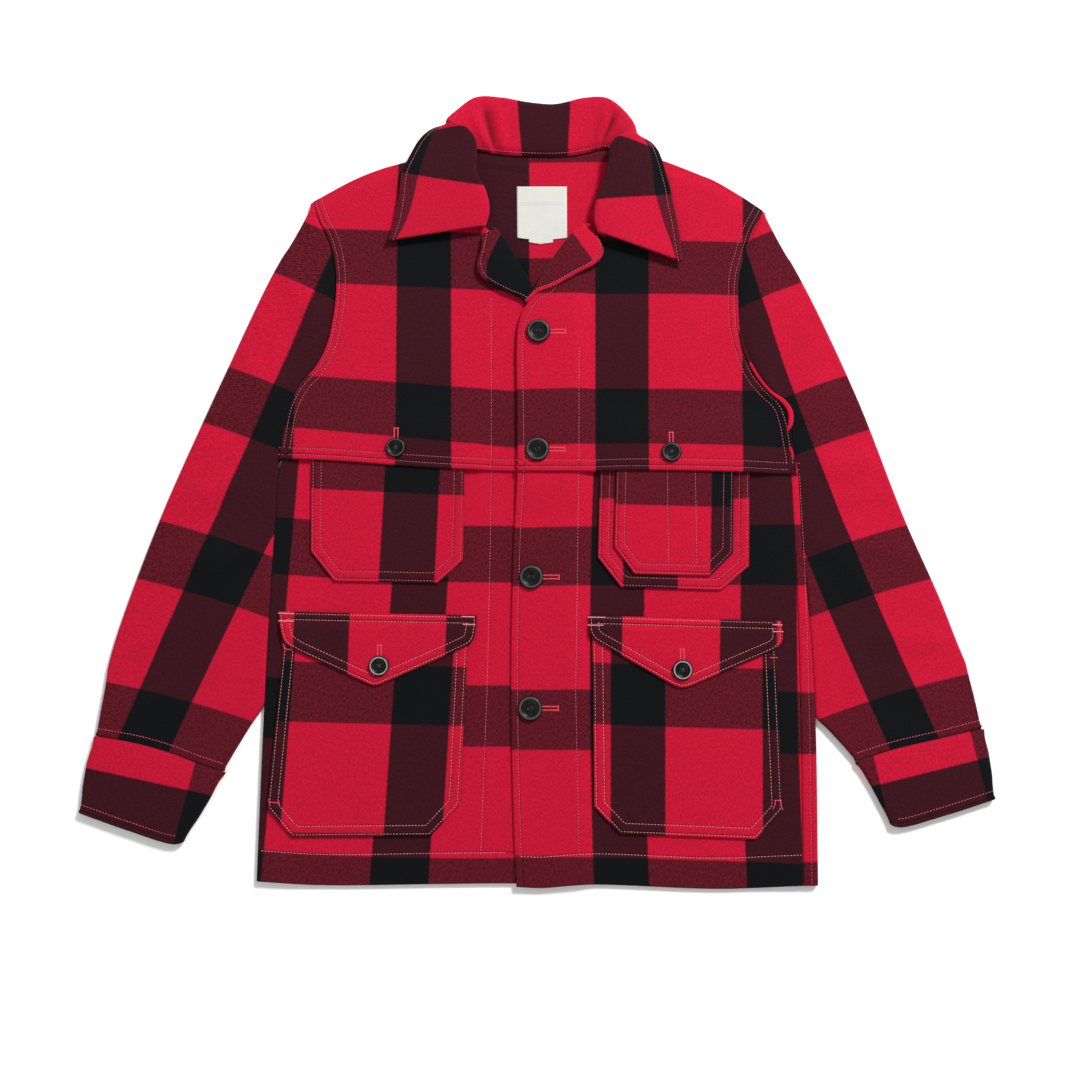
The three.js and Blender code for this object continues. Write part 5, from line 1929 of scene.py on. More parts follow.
@dataclass
class Sleeve:
    """Sleeve with its cuff, flat beside the body."""

    side: Side
    armhole: Points
    outer: Points
    cuff_seam: Points
    body_side: Points
    underarm_at: float
    cuff_outer: Points
    cuff_hem: Points
    cuff_inner: Points
    lay: CheckLay
    cuff_lay: CheckLay
    tuck: float = 3.4
    head_sink: float = 2.4
    underarm_columns: tuple[int, int] = (36, 45)
    underarm_shift: tuple[float, float] = (2.6, -3.0)
    shoulder_shift: tuple[float, float] = (2.8, 1.6)
    length: float = 560.0
    columns: int = 46
    cuff_length: float = 76.0
    cuff_columns: int = 40
    cuff_row: float = 6.5
    hem_row: float = 7.5
    seam_row: float = 3.0

    def _top(self, s: np.ndarray, across: np.ndarray, x: np.ndarray, y: np.ndarray) -> np.ndarray:
        """Middle of the upper layer: soft creases, sinking to the armhole and to the cuff seam.

        Args:
            s: share of the way down the sleeve.
            across: share of the way from the outer to the inner fold.
            x: places across the jacket.
            y: places up the jacket.

        Returns:
            Heights.
        """
        s = np.clip(s, 0, 1)
        crown = SLEEVE_PUFF * np.sin(np.pi * across) * np.sin(np.pi * s)
        near_end = np.minimum(s * self.length, (1 - s) * self.length)
        lie = lie_of(SLEEVE_CREASES, x, y) * ease(0, 0.12, across) * ease(1, 0.88, across)
        return SLEEVE_TOP_Z + crown + lie * ease(2, 22, near_end) - dent(s * self.length, 5.0, 2.0)

    def _inner_run(self) -> RunLike:
        """The inner fold: beside the body from the underarm, then straight to the cuff.

        Returns:
            The run from the underarm to the cuff.
        """
        body = Run(self.body_side)
        out = -self.side.value

        def beside(t: np.ndarray) -> np.ndarray:
            """Places beside the body's side edge."""
            share = self.underarm_at + (SWING_AT - self.underarm_at) * np.asarray(t)
            return body(share) + np.array([out * 0.5, 0])

        chain = Chain([(beside, 7), (Run([beside(np.array([1.0]))[0], self.cuff_seam[-1]]), 2)])
        return lambda s: chain(np.asarray(s) ** 1.9)

    def _tucked_head(self, ring: np.ndarray, armhole: np.ndarray) -> np.ndarray:
        """The ring above a sleeve's first one, which slips under the yoke's edge.

        Args:
            ring: the sleeve's first ring.
            armhole: the armhole's line.

        Returns:
            The ring that goes before it.
        """
        out, count, fold = -self.side.value, self.columns, Tube.fold_points
        tucked = ring.copy()
        inward = Run(offset_line(Run(armhole).dense, out * self.tuck))
        tucked[:count] = upright(inward(np.linspace(0, 1, count)), SLEEVE_TOP_Z - self.head_sink)
        reach = np.r_[ease(*self.underarm_columns, np.arange(count)), np.ones(fold)]
        across, up = self.underarm_shift
        tucked[:count + fold, :2] += reach[:, None] * (out * across, up)
        across, up = self.shoulder_shift
        tucked[2 * count + fold:, :2] += (out * across, up)
        return tucked

    def build(self, shop: Shop) -> None:
        """Builds the sleeve and the cuff and sews them.

        Args:
            shop: the cloth's finish, the sewing and the settling of pieces.
        """
        self._build_sleeve(shop)
        self._build_cuff(shop)
        self._sew(shop)

    def _build_sleeve(self, shop: Shop) -> None:
        """The sleeve, from the armhole to the cuff's seam.

        Args:
            shop: the cloth's finish, the sewing and the settling of pieces.
        """
        out = -self.side.value
        armhole = np.array(self.armhole, float)
        seam = Run(offset_line(Run(armhole).dense, -out * SLEEVE_CLEAR))

        def upper(t: np.ndarray) -> np.ndarray:
            """The sleeve's head, clear of the armhole and more so at the underarm."""
            shift = UNDERARM_CLEAR * ease(0.88, 1, t)
            return seam(t) - np.stack([out * shift, np.zeros_like(shift)], -1)

        shoulder = upper(np.array([0.0]))[0]
        tube = Tube(upper, Run(self.cuff_seam), Run([shoulder, *self.outer[:-1], self.cuff_seam[0]]),
                    self._inner_run(), CLOTH, self._top, 20, 9, (SLEEVE_TOP_Z - CLOTH / 2) / 2)
        rings, layer = tube.rings(SLEEVE_RINGS, np.linspace(0, 1, self.columns))
        grid = np.concatenate([self._tucked_head(rings[0], armhole)[None], rings])
        from_cuff = self.length - np.r_[-4, SLEEVE_RINGS * self.length]
        row = np.where(layer > 0, from_cuff[:, None] - self.cuff_row, FAR)
        sheet = Sheet(grid, self._numbers(grid, layer, self.lay), rows={"row_a": row}, closed=True)
        shop.lay(f"sleeve_{self.side.name.lower()}", sheet, (0.43, 0.60), ["floor"])

    def _build_cuff(self, shop: Shop) -> None:
        """The cuff, tucked under the sleeve's end, with its check cut crosswise.

        Args:
            shop: the cloth's finish, the sewing and the settling of pieces.
        """
        out = -self.side.value
        seam = Run([self.cuff_outer[0], *self.cuff_seam[1:-1], self.cuff_inner[0]])
        tube = Tube(lambda t: seam(t) - (0, CUFF_CLEAR), Run(self.cuff_hem), Run(self.cuff_outer),
                    Run(self.cuff_inner), CUFF_WALL, self._cuff_top, 1, 3,
                    (CUFF_TOP_Z - CUFF_WALL / 2) / 2)
        rings, layer = tube.rings(CUFF_RINGS, np.linspace(0, 1, self.cuff_columns))
        tucked = rings[0].copy()
        tucked[:self.cuff_columns] += (-out * 1.0, 4.2, -2.6)
        rings = np.concatenate([tucked[None], rings])
        down = np.r_[-0.03, CUFF_RINGS][:, None]
        top = layer > 0
        rings[..., 2] -= 1.1 * ease(0.05, 0.0, down) * top
        from_hem = (1 - down) * self.cuff_length
        from_seam = self.cuff_length - from_hem
        marks = {"row_a": np.where(top, from_hem - self.hem_row, FAR),
                 "row_b": np.where(top, from_seam - self.seam_row, FAR)}
        rise = (0.35 * ease(10, 6, from_hem) - dent(from_hem - self.hem_row, 1.5, 0.4)) * top
        sheet = Sheet(rings, self._numbers(rings, layer, self.cuff_lay)[..., ::-1], rows=marks,
                      outer_rise=rise, closed=True)
        shop.lay(f"cuff_{self.side.name.lower()}", sheet, (0.29, 0.085), ["floor"],
                 thickness=CUFF_WALL, lip=1.8)

    def _cuff_top(self, s: np.ndarray, across: np.ndarray, x: np.ndarray, y: np.ndarray) -> np.ndarray:
        """Middle of the cuff's upper layer."""
        return CUFF_TOP_Z + 0.5 * np.sin(np.pi * across) * np.sin(np.pi * s)

    def _numbers(self, grid: np.ndarray, layer: np.ndarray, lay: CheckLay) -> np.ndarray:
        """Check numbers round a tube: the lower layer carries on past the outer fold.

        Args:
            grid: rings of places.
            layer: 1 for each point of a ring on the upper layer, -1 below.
            lay: how the check lies.

        Returns:
            Stripe and band numbers.
        """
        numbers = at(lay.numbers, grid)
        outermost = np.argmax(grid[..., 0] * self.side.value, axis=1)
        turn = numbers[np.arange(len(grid)), outermost][:, None]
        under = np.stack([2 * turn[..., 0] - numbers[..., 0], numbers[..., 1]], -1)
        return np.where((layer > 0)[None, :, None], numbers, under)

    def _sew(self, shop: Shop) -> None:
        """Rows of stitches above the cuff seam and along the cuff's hem.

        Args:
            shop: the cloth's finish, the sewing and the settling of pieces.
        """
        out = -self.side.value
        above = Run(self.cuff_seam)(np.linspace(0.03, 0.97, 30)) + (0, 7.0) + (out * 1.2, 0)
        hem = Run(self.cuff_hem)(np.linspace(0.02, 0.9, 30)) + (out * 2.0, 8.2)
        shop.sewing.row(above, lambda x, y: lie_of(SLEEVE_CREASES, x, y) + SLEEVE_TOP_Z + 0.12,
                        Thread.WINE)
        shop.sewing.row(hem, level(CUFF_TOP_Z + 0.45), Thread.WINE)


@dataclass
class RolledCloth:
    """Collar or lapel: rises from its seam, rolls over and lies down to its free edge."""

    node: str
    rows: tuple[tuple[float, ...], ...]
    thickness: float
    sections: int
    flat: tuple[float, float]
    numbers: Callable[[np.ndarray, np.ndarray, np.ndarray], np.ndarray]
    stitch_inset: float
    folds: tuple[tuple[float, float, float], ...] = ()
    seam_row: Optional[tuple[float, float, float]] = None
    roundness: tuple[float, float, float] = (0.35, 2.4, 5.0)
    hold: float = 15.0
    rising_points: int = 14
    clear_of_floor: float = 0.02

    def section(self, seam: np.ndarray, roll: np.ndarray, edge: np.ndarray, count: int) -> np.ndarray:
        """Points of one section from the seam over the roll to the edge.

        Args:
            seam: where the section starts.
            roll: its highest point.
            edge: where it ends.
            count: points of its rising part.

        Returns:
            The points.
        """
        up, down = roll - seam, edge - roll
        up_length, down_length = np.linalg.norm(up), np.linalg.norm(down)
        turn = up / up_length + down / down_length
        turn /= np.linalg.norm(turn)
        share, least, most = self.roundness
        handle = np.clip(share * min(up_length, down_length), least, most)
        up_near = roll - up * min(0.7, self.hold / up_length)
        down_near = roll + down * min(0.6, self.hold / down_length)
        up_near[2] += 1
        down_near[2] += 2.5 if turn[2] > 0 else -0.6

        def bezier(a: np.ndarray, b: np.ndarray, c: np.ndarray, d: np.ndarray,
                   t: np.ndarray) -> np.ndarray:
            """Points of a curve from a to d, drawn to b and c on its way."""
            t = t[:, None]
            return a * (1 - t) ** 3 + 3 * b * t * (1 - t) ** 2 + 3 * c * t * t * (1 - t) + d * t**3

        rising = bezier(seam, up_near, roll - turn * handle, roll, np.linspace(0, 1, count))
        far = np.r_[np.linspace(0, 1, 2 * count)[1:-1], 0.965, 0.985, 0.995, 1.0]
        lying = bezier(roll, roll + turn * handle, down_near, edge, np.unique(far))
        points = np.vstack([rising, lying])
        points[:, 2] = np.maximum(points[:, 2], self.thickness / 2 + self.clear_of_floor)
        return points

    def build(self, shop: Shop) -> None:
        """Builds the piece and its edge stitching.

        Args:
            shop: the cloth's finish, the sewing and the settling of pieces.
        """
        table = np.array(self.rows, float)
        t = np.unique(np.r_[0, 0.0012, 0.003, np.linspace(0.006, 0.994, self.sections),
                            0.997, 0.9988, 1])
        runs = [self._by_row(table[:, k:k + 3], t) for k in (0, 3, 6)]
        grid = np.stack([self.section(*places, self.rising_points) for places in zip(*runs)])
        depth = np.linalg.norm(np.diff(grid, axis=1), axis=-1)
        run = np.hstack([np.zeros((len(t), 1)), np.cumsum(depth, 1)])
        from_edge = run[:, -1:] - run
        row_place = np.repeat((t * (len(table) - 1))[:, None], grid.shape[1], 1)
        # Painted shade: the hollow mark makes the wool darker in the troughs of the folds that sink
        hollow = np.full(run.shape, FAR)
        for row, width, lift in self.folds:
            share = run / run[:, -1:]
            standing = ease(0.0, 0.15, share) * ease(0.62, 0.4, share)
            grid[..., 2] += dent(row_place - row, width, lift) * standing
            if lift < 0:
                hollow = np.minimum(hollow, np.hypot((row_place - row) / width * 1.1, 2.2 * (1 - standing)))
        check = self.numbers(grid, row_place, from_edge)
        marks = {"row_a": from_edge - self.stitch_inset, "hollow": hollow}
        rise = 0.5 * ease(self.stitch_inset + 2, self.stitch_inset - 1, from_edge)
        rise = rise - dent(marks["row_a"], 1.2, 0.4)
        sheet = Sheet(grid, check, rows=marks, outer_rise=rise)
        shop.lay(self.node, sheet, self.flat, ["yoke_right", "yoke_left", "back_panel"], "folded",
                 self.thickness, 1.5)
        self._stitch(shop, sheet, run, run[:, -1] - self.stitch_inset)
        if self.seam_row:
            first, last, inset = self.seam_row
            some = (row_place[:, 0] >= first) & (row_place[:, 0] <= last)
            self._stitch(shop, sheet, run, np.full(len(t), inset), some)

    def _stitch(self, shop: Shop, sheet: Sheet, run: np.ndarray, reach: np.ndarray,
                some: Optional[np.ndarray] = None) -> None:
        """A row of stitches at a distance along each section, on all sections or on some.

        Args:
            shop: the cloth's finish, the sewing and the settling of pieces.
            sheet: the piece.
            run: distance of its points from the seam.
            reach: distance of the row from the seam.
            some: which of its places are sewn; all without it.
        """
        normal = sheet.normals() * sheet.facing()
        nearest = np.argmin(np.abs(run - reach[:, None]), axis=1)
        line = np.array([[np.interp(far, lengths, column) for column in points.T]
                         for far, points, lengths in zip(reach, sheet.points, run)])
        lifted = line + normal[np.arange(len(reach)), nearest] * (self.thickness / 2 + 0.12)
        shown = lifted if some is None else lifted[some]
        shop.sewing.seams.append(Seam(thinned(shown, SEAM_STEP), Thread.WINE))

    @staticmethod
    def _by_row(points: np.ndarray, t: np.ndarray) -> np.ndarray:
        """Smooth run through a table's rows, read by the number of the row.

        Args:
            points: one place for each row of the table.
            t: shares of the way along the table.

        Returns:
            One place for each share.
        """
        dense = Run._smooth(points, 16)
        at = np.linspace(0, 1, len(dense))
        return np.stack([np.interp(t, at, dense[:, k]) for k in range(3)], -1)


@dataclass
class Neck:
    """Collar, lapels and the neck label."""

    stripe_rows: tuple[tuple[float, float], ...] = (
        (0, -1.5), (2.95, -1.0), (6.2, -0.635), (11.6, 0.0), (13.5, 0.365), (19.0, 1.0),
        (22.5, 1.365), (25, 1.8))
    band_inset: tuple[tuple[float, float], ...] = (
        (0, 9), (1.5, 15), (3, 19), (4.7, 15), (6.4, 9), (18.2, 10.4), (20.4, 13.3), (22.4, 18),
        (24, 14.8), (25, 8.2))
    # Folds of the collar as row, width and lift; those that sink also get painted shade in their troughs
    collar_folds: tuple[tuple[float, float, float], ...] = (
        (10.18, 0.22, -3.2), (9.5, 0.35, 2.0), (10.75, 0.26, 2.2), (15.9, 0.20, -3.2), (15.35, 0.26, 2.2),
        (16.45, 0.30, 2.0), (12.6, 0.8, 0.7))
    leaf_depth: float = 75.0
    label_columns: int = 40

    def collar_numbers(self, grid: np.ndarray, row: np.ndarray, from_edge: np.ndarray) -> np.ndarray:
        """Check numbers of the collar: stripes by its sections, a band along its free edge.

        Args:
            grid: places as [row, column, xyz].
            row: place of each in the table of rows.
            from_edge: how far each lies from the free edge.

        Returns:
            Stripe and band numbers.
        """
        across = np.interp(row, *zip(*self.stripe_rows))
        across = across + (ease(6, 3.5, row) - ease(19.5, 22, row)) * 0.10 * from_edge / self.leaf_depth
        inset = np.interp(row, *zip(*self.band_inset))
        return np.stack([across, 1 + (inset - from_edge) / CHECK_REPEAT], -1)

    @staticmethod
    def lapel_right_numbers(grid: np.ndarray, row: np.ndarray, from_edge: np.ndarray) -> np.ndarray:
        """Check numbers of the right lapel: black, with a wine strip at its outer edge.

        Args:
            grid: places as [row, column, xyz].
            row: place of each in the table of rows.
            from_edge: how far each lies from the free edge.

        Returns:
            Stripe and band numbers.
        """
        x, y = grid[..., 0], grid[..., 1]
        outer = -39.7 + (np.maximum(y, 220) - 247) * 0.447
        return np.stack([(x - outer) / CHECK_REPEAT, 0.20 - (y - 225) / (2.6 * CHECK_REPEAT)], -1)

    @staticmethod
    def lapel_left_numbers(grid: np.ndarray, row: np.ndarray, from_edge: np.ndarray) -> np.ndarray:
        """Check numbers of the left lapel: wine below a slanting line, red above it and at its edge.

        Args:
            grid: places as [row, column, xyz].
            row: place of each in the table of rows.
            from_edge: how far each lies from the free edge.

        Returns:
            Stripe and band numbers.
        """
        x, y = grid[..., 0], grid[..., 1]
        slope = (x - 39.1) * 0.818 + (y - 246.5) * 0.575
        slope = np.where(slope < -48, slope + 43, slope)
        rim = np.minimum(3.6, 0.4 * from_edge[:, :1])
        slope = np.where(from_edge < rim, np.maximum(slope, 30 + 0.4 * x), slope)
        along = (x - 28) * 0.575 - (y - 221) * 0.818
        return np.stack([PLAIN + along / CHECK_REPEAT, DARK_SHARE + slope / CHECK_REPEAT], -1)

    def build(self, shop: Shop) -> None:
        """Builds the collar, the lapels and the label.

        Args:
            shop: the cloth's finish, the sewing and the settling of pieces.
        """
        RolledCloth("collar", COLLAR_ROWS, DOUBLED, 190, (0.62, 0.15), self.collar_numbers, 6.0,
                    self.collar_folds, (7.6, 17.4, 3.2)).build(shop)
        RolledCloth("lapel_right", LAPEL_RIGHT_ROWS, CLOTH, 40, (0.10, 0.06), self.lapel_right_numbers,
                    5.0).build(shop)
        RolledCloth("lapel_left", LAPEL_LEFT_ROWS, CLOTH, 40, (0.09, 0.06), self.lapel_left_numbers,
                    4.0).build(shop)
        self.label(shop)

    def label(self, shop: Shop) -> None:
        """The woven neck label with its tab.

        Args:
            shop: the cloth's finish, the sewing and the settling of pieces.
        """
        starts, ends = np.array(LABEL_OUTLINE), np.roll(LABEL_OUTLINE, -1, 0)
        levels = np.r_[np.linspace(306, 251.5, 40), 250.4, 249.6, 249.0, 248, 246.6, 245.6, 244.6, 243.8]
        rows = []
        for y in levels:
            xs = sorted(a[0] + (b[0] - a[0]) * (y - a[1]) / (b[1] - a[1]) for a, b in zip(starts, ends)
                        if min(a[1], b[1]) <= y <= max(a[1], b[1]) and a[1] != b[1])
            x = xs[0] + (xs[-1] - xs[0]) * np.linspace(0, 1, self.label_columns)
            z = CLOTH + GAP + LABEL_WALL / 2 + 0.25 * np.sin(x / 9) * np.sin(y / 14)
            rows.append(np.stack([x, np.full(len(x), y), z], 1))
        points = np.stack(rows)
        sheet = Sheet(points, np.zeros(points.shape[:2] + (2,)))
        piece = wall("label_woven", sheet, LABEL_WALL, LabelCloth().material(), lip=0.5)
        shop.settle(piece, "neck_label")
        sheet.area()


UP = np.array([0, 0, 1.0])


@dataclass
class Button:
    """Four-hole button with a raised rim and its sewing thread."""

    node: str
    diameter: float
    x: float
    y: float
    height: Height
    crossed: bool = False
    turn: float = 0.0
    # Whether the rim's painted highlight is the brighter one
    rubbed: bool = False
    hole_offset: float = 2.1
    hole_radius: float = 1.05
    thread_radius: float = 0.36
    thread_shift: float = 0.42
    thread_foot: float = 1.9
    thread_rise: float = 1.15
    sides: int = 56
    profile: Points = ((0.55, 0.0), (0.72, 0.05), (0.93, 0.6), (1.0, 1.7), (0.985, 2.6), (0.93, 3.45),
                       (0.85, 3.85), (0.77, 3.8), (0.70, 3.3), (0.62, 2.75), (0.45, 2.5), (0.2, 2.45))
    # Ring on top of the rim that takes a lighter plastic as a painted highlight: inner and outer share of the
    # radius, least height
    rim_from: tuple[float, float, float] = (0.74, 0.90, 3.3)

    def build(self, shop: Shop, material: bpy.types.Material, rim: bpy.types.Material,
              thread: bpy.types.Material) -> None:
        """Builds the button with its holes, its rim and the thread through the holes.

        Args:
            shop: the cloth's finish, the sewing and the settling of pieces.
            material: the plastic.
            rim: the lighter plastic of the rim's top, a painted highlight.
            thread: the thread's finish.
        """
        r = self.diameter / 2
        spots = np.array([(0, 0), (0.5, 0), (-0.5, 0), (0, 0.5), (0, -0.5)]) * self.diameter
        z0 = float(np.max(self.height(self.x + spots[:, 0], self.y + spots[:, 1]))) + CLOTH / 2 + GAP
        profile = Run([(share * r, z) for share, z in self.profile])(np.linspace(0, 1, 26))
        angles = np.linspace(0, math.tau, self.sides, endpoint=False)
        ring = np.stack([np.cos(angles), np.sin(angles)], -1)
        vertices = [np.column_stack([ring * p[0], np.full(self.sides, p[1])]) for p in profile]
        faces = []
        for k in range(len(profile) - 1):
            a = k * self.sides + np.arange(self.sides)
            b = k * self.sides + (np.arange(self.sides) + 1) % self.sides
            faces.append(np.stack([a, b, b + self.sides, a + self.sides], -1))
        body = mesh_object("button_" + self.node, np.vstack(vertices), np.vstack(faces), material)
        self._close_and_drill(body)
        # Painted highlight: faces on the rim's top take the lighter plastic
        body.data.materials.append(rim)
        inner, outer, above = self.rim_from
        for polygon in body.data.polygons:
            from_axis = math.hypot(polygon.center.x, polygon.center.y) / (r * MM)
            polygon.material_index = int(inner < from_axis < outer and polygon.center.z > above * MM)
        body.data.transform(self._place(z0))
        shop.settle(body, self.node)
        self._thread(z0, thread)

    def _place(self, z0: float) -> Matrix:
        """Where the button lies and how it is turned."""
        return Matrix.Translation((self.x * MM, self.y * MM, z0 * MM)) @ Matrix.Rotation(self.turn, 4, "Z")

    def _close_and_drill(self, body: bpy.types.Object) -> None:
        """Closes both ends of the turned body and cuts its holes.

        Args:
            body: the turned body.
        """
        mesh = bmesh.new()
        mesh.from_mesh(body.data)
        bmesh.ops.holes_fill(mesh, edges=[e for e in mesh.edges if e.is_boundary], sides=0)
        bmesh.ops.recalc_face_normals(mesh, faces=mesh.faces)
        mesh.to_mesh(body.data)
        mesh.free()
        cutters = bmesh.new()
        radius, offset = self.hole_radius * MM, self.hole_offset * MM
        for x, y in ((-1, -1), (-1, 1), (1, -1), (1, 1)):
            made = bmesh.ops.create_cone(cutters, cap_ends=True, segments=18, radius1=radius,
                                         radius2=radius, depth=0.02)
            bmesh.ops.translate(cutters, verts=made["verts"], vec=(x * offset, y * offset, 0.001))
        tool_mesh = bpy.data.meshes.new("drill")
        cutters.to_mesh(tool_mesh)
        cutters.free()
        tool = linked("drill", tool_mesh)
        cut = body.modifiers.new("holes", "BOOLEAN")
        cut.object, cut.operation, cut.solver = tool, "DIFFERENCE", "EXACT"
        graph = bpy.context.evaluated_depsgraph_get()
        drilled = bpy.data.meshes.new_from_object(body.evaluated_get(graph), depsgraph=graph)
        body.modifiers.clear()
        body.data = drilled
        bpy.data.objects.remove(tool)
        for polygon in drilled.polygons:
            polygon.use_smooth = True
        drilled.set_sharp_from_angle(angle=math.radians(42))

    def _thread(self, z0: float, thread: bpy.types.Material) -> None:
        """Bars of thread between the holes, two side by side.

        Args:
            z0: height of the button's underside.
            thread: the thread's finish.
        """
        o, steps, sides = self.hole_offset, 8, 8
        crossed = [((-o, -o), (o, o)), ((-o, o), (o, -o))]
        straight = [((-o, -o), (-o, o)), ((o, -o), (o, o))]
        vertices, faces = [], []
        for number, (a, b) in enumerate(crossed if self.crossed else straight):
            for shift in (-self.thread_shift, self.thread_shift):
                start, end = np.array([*a, 0.0]), np.array([*b, 0.0])
                along = (end - start) / np.linalg.norm(end - start)
                side = np.array([-along[1], along[0], 0])
                base = len(vertices) * sides
                for share in np.linspace(0, 1, steps + 1):
                    bow = math.sin(math.pi * share)
                    centre = start + (end - start) * share + side * shift * (0.6 + 0.4 * bow)
                    centre[2] = self.thread_foot + self.thread_rise * bow**0.5 + 0.12 * number
                    vertices.append([centre + self.thread_radius * (side * math.cos(q) + UP * math.sin(q))
                                     for q in np.linspace(0, math.tau, sides, endpoint=False)])
                for k in range(steps):
                    for j in range(sides):
                        p, q = base + k * sides + j, base + k * sides + (j + 1) % sides
                        faces.append((p, q, q + sides, p + sides))
        piece = mesh_object("thread_" + self.node, np.array(vertices).reshape(-1, 3), np.array(faces), thread)
        piece.data.transform(self._place(z0))
        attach(piece, "root")


@dataclass
class Fastenings:
    """Buttons, buttonholes and the bar tacks of the hip pockets."""

    front: float = 24.0
    small: float = 20.0
    tacks_on_pockets: tuple = (
        (Side.RIGHT, ((269.5, 799), (271, 805)), ((279, 799), (280.5, 805)),
         ((270.5, 802), (279.5, 802.5))),
        (Side.RIGHT, ((284, 644), (285.5, 649)), ((285.5, 649.3), (293, 650))),
        (Side.LEFT, ((769.5, 658), (776.5, 658))),
        (Side.LEFT, ((774, 800.3), (780.5, 800.3)), ((774.6, 801), (774.2, 805), (772.4, 808.5)),
         ((780, 801), (780.3, 806), (782, 809.5))),
    )
    tacks_on_flaps: tuple = (
        (Side.RIGHT, ((278.5, 613.4), (293.5, 613.8)), ((279, 621), (294, 621.3)),
         ((462, 616.6), (474, 617)), ((463, 624.4), (475, 624.8))),
        (Side.LEFT, ((588.3, 617.2), (605.5, 617.4)), ((588, 625.2), (603, 625.3)),
         ((772.5, 624.9), (781.5, 625.2)), ((772.5, 631.8), (782.5, 632))),
    )

    def build(self, shop: Shop) -> None:
        """Builds them all.

        Args:
            shop: the cloth's finish, the sewing and the settling of pieces.
        """
        plastic = ButtonPlastic("button_plastic").material()
        # Lighter plastics painted on the rims as highlights, brighter on the flap buttons
        rim = ButtonPlastic("button_rim", (0.050, 0.050, 0.050), (0.085, 0.080, 0.075)).material()
        bright_highlight_rim = ButtonPlastic("button_rubbed_rim", (0.26, 0.26, 0.26), (0.42, 0.41, 0.40)).material()
        thread = ThreadFinish(Thread.DARK).material()
        right_flap, left_flap = flap_z(Side.RIGHT), flap_z(Side.LEFT)
        buttons = (
            Button("front_button_1", self.front, 1, 148, yoke_left_z, turn=0.0),
            Button("front_button_2", self.front, 0, 26, yoke_left_z, turn=0.15),
            Button("front_button_3", self.front, -6, -102, front_left_z, turn=-0.1),
            Button("front_button_4", self.front, -7, -231, front_left_z, turn=0.2),
            Button("yoke_button_right", self.small, -142, 28, yoke_right_z, crossed=True),
            Button("yoke_button_left", self.small, 134, 23, yoke_left_z, crossed=True, turn=0.3),
            Button("flap_button_right", self.small, -155, -190, right_flap, crossed=True, rubbed=True),
            Button("flap_button_left", self.small, 142, -194, left_flap, crossed=True, turn=0.2, rubbed=True),
        )
        for button in buttons:
            button.build(shop, plastic, bright_highlight_rim if button.rubbed else rim, thread)
        for button in buttons[:4]:
            self._hole(shop, (button.x - 2, button.y), (button.x + 27, button.y), button.height)
        for button in buttons[4:]:
            self._hole(shop, (button.x, button.y - 1), (button.x, button.y + 20), button.height)
        self._tacks(shop)

    @staticmethod
    def _satin(shop: Shop, line: Points, height: Height, width: float, thread: Thread = Thread.HOLE) -> None:
        """A close row of stitches across a line."""
        shop.sewing.row(np.array(line, float), height, thread, sink=-0.12, pitch=0.62, along=0.36,
                        across=width, tall=0.34)

    def _hole(self, shop: Shop, start: tuple[float, float], end: tuple[float, float], height: Height) -> None:
        """A buttonhole: two close rows and a bar across its end.

        Args:
            shop: the cloth's finish, the sewing and the settling of pieces.
            start: one end.
            end: the other end.
            height: height of the cloth.
        """
        a, b = np.array(start, float), np.array(end, float)
        along = (b - a) / np.linalg.norm(b - a)
        side = np.array([-along[1], along[0]])
        for sign in (-1, 1):
            self._satin(shop, [a + side * 1.75 * sign, b + side * 1.75 * sign], height, 0.85)
        self._satin(shop, [b - side * 2.4 + along * 0.4, b + side * 2.4 + along * 0.4], height, 0.85)

    def _tacks(self, shop: Shop) -> None:
        """Bar tacks at the ends of the hip pockets' side openings.

        Args:
            shop: the cloth's finish, the sewing and the settling of pieces.
        """
        for side, *strokes in self.tacks_on_pockets:
            lift: Height = lambda x, y, s=side: front_z(s)(x, y) + LAY + 0.7
            for stroke in strokes:
                self._satin(shop, VIEW.line(stroke), lift, 0.6)
        for side, *strokes in self.tacks_on_flaps:
            lift = lambda x, y, s=side: flap_z(s)(x, y) + 0.75
            for stroke in strokes:
                self._satin(shop, VIEW.line(stroke, 9.0), lift, 0.75, Thread.PALE)


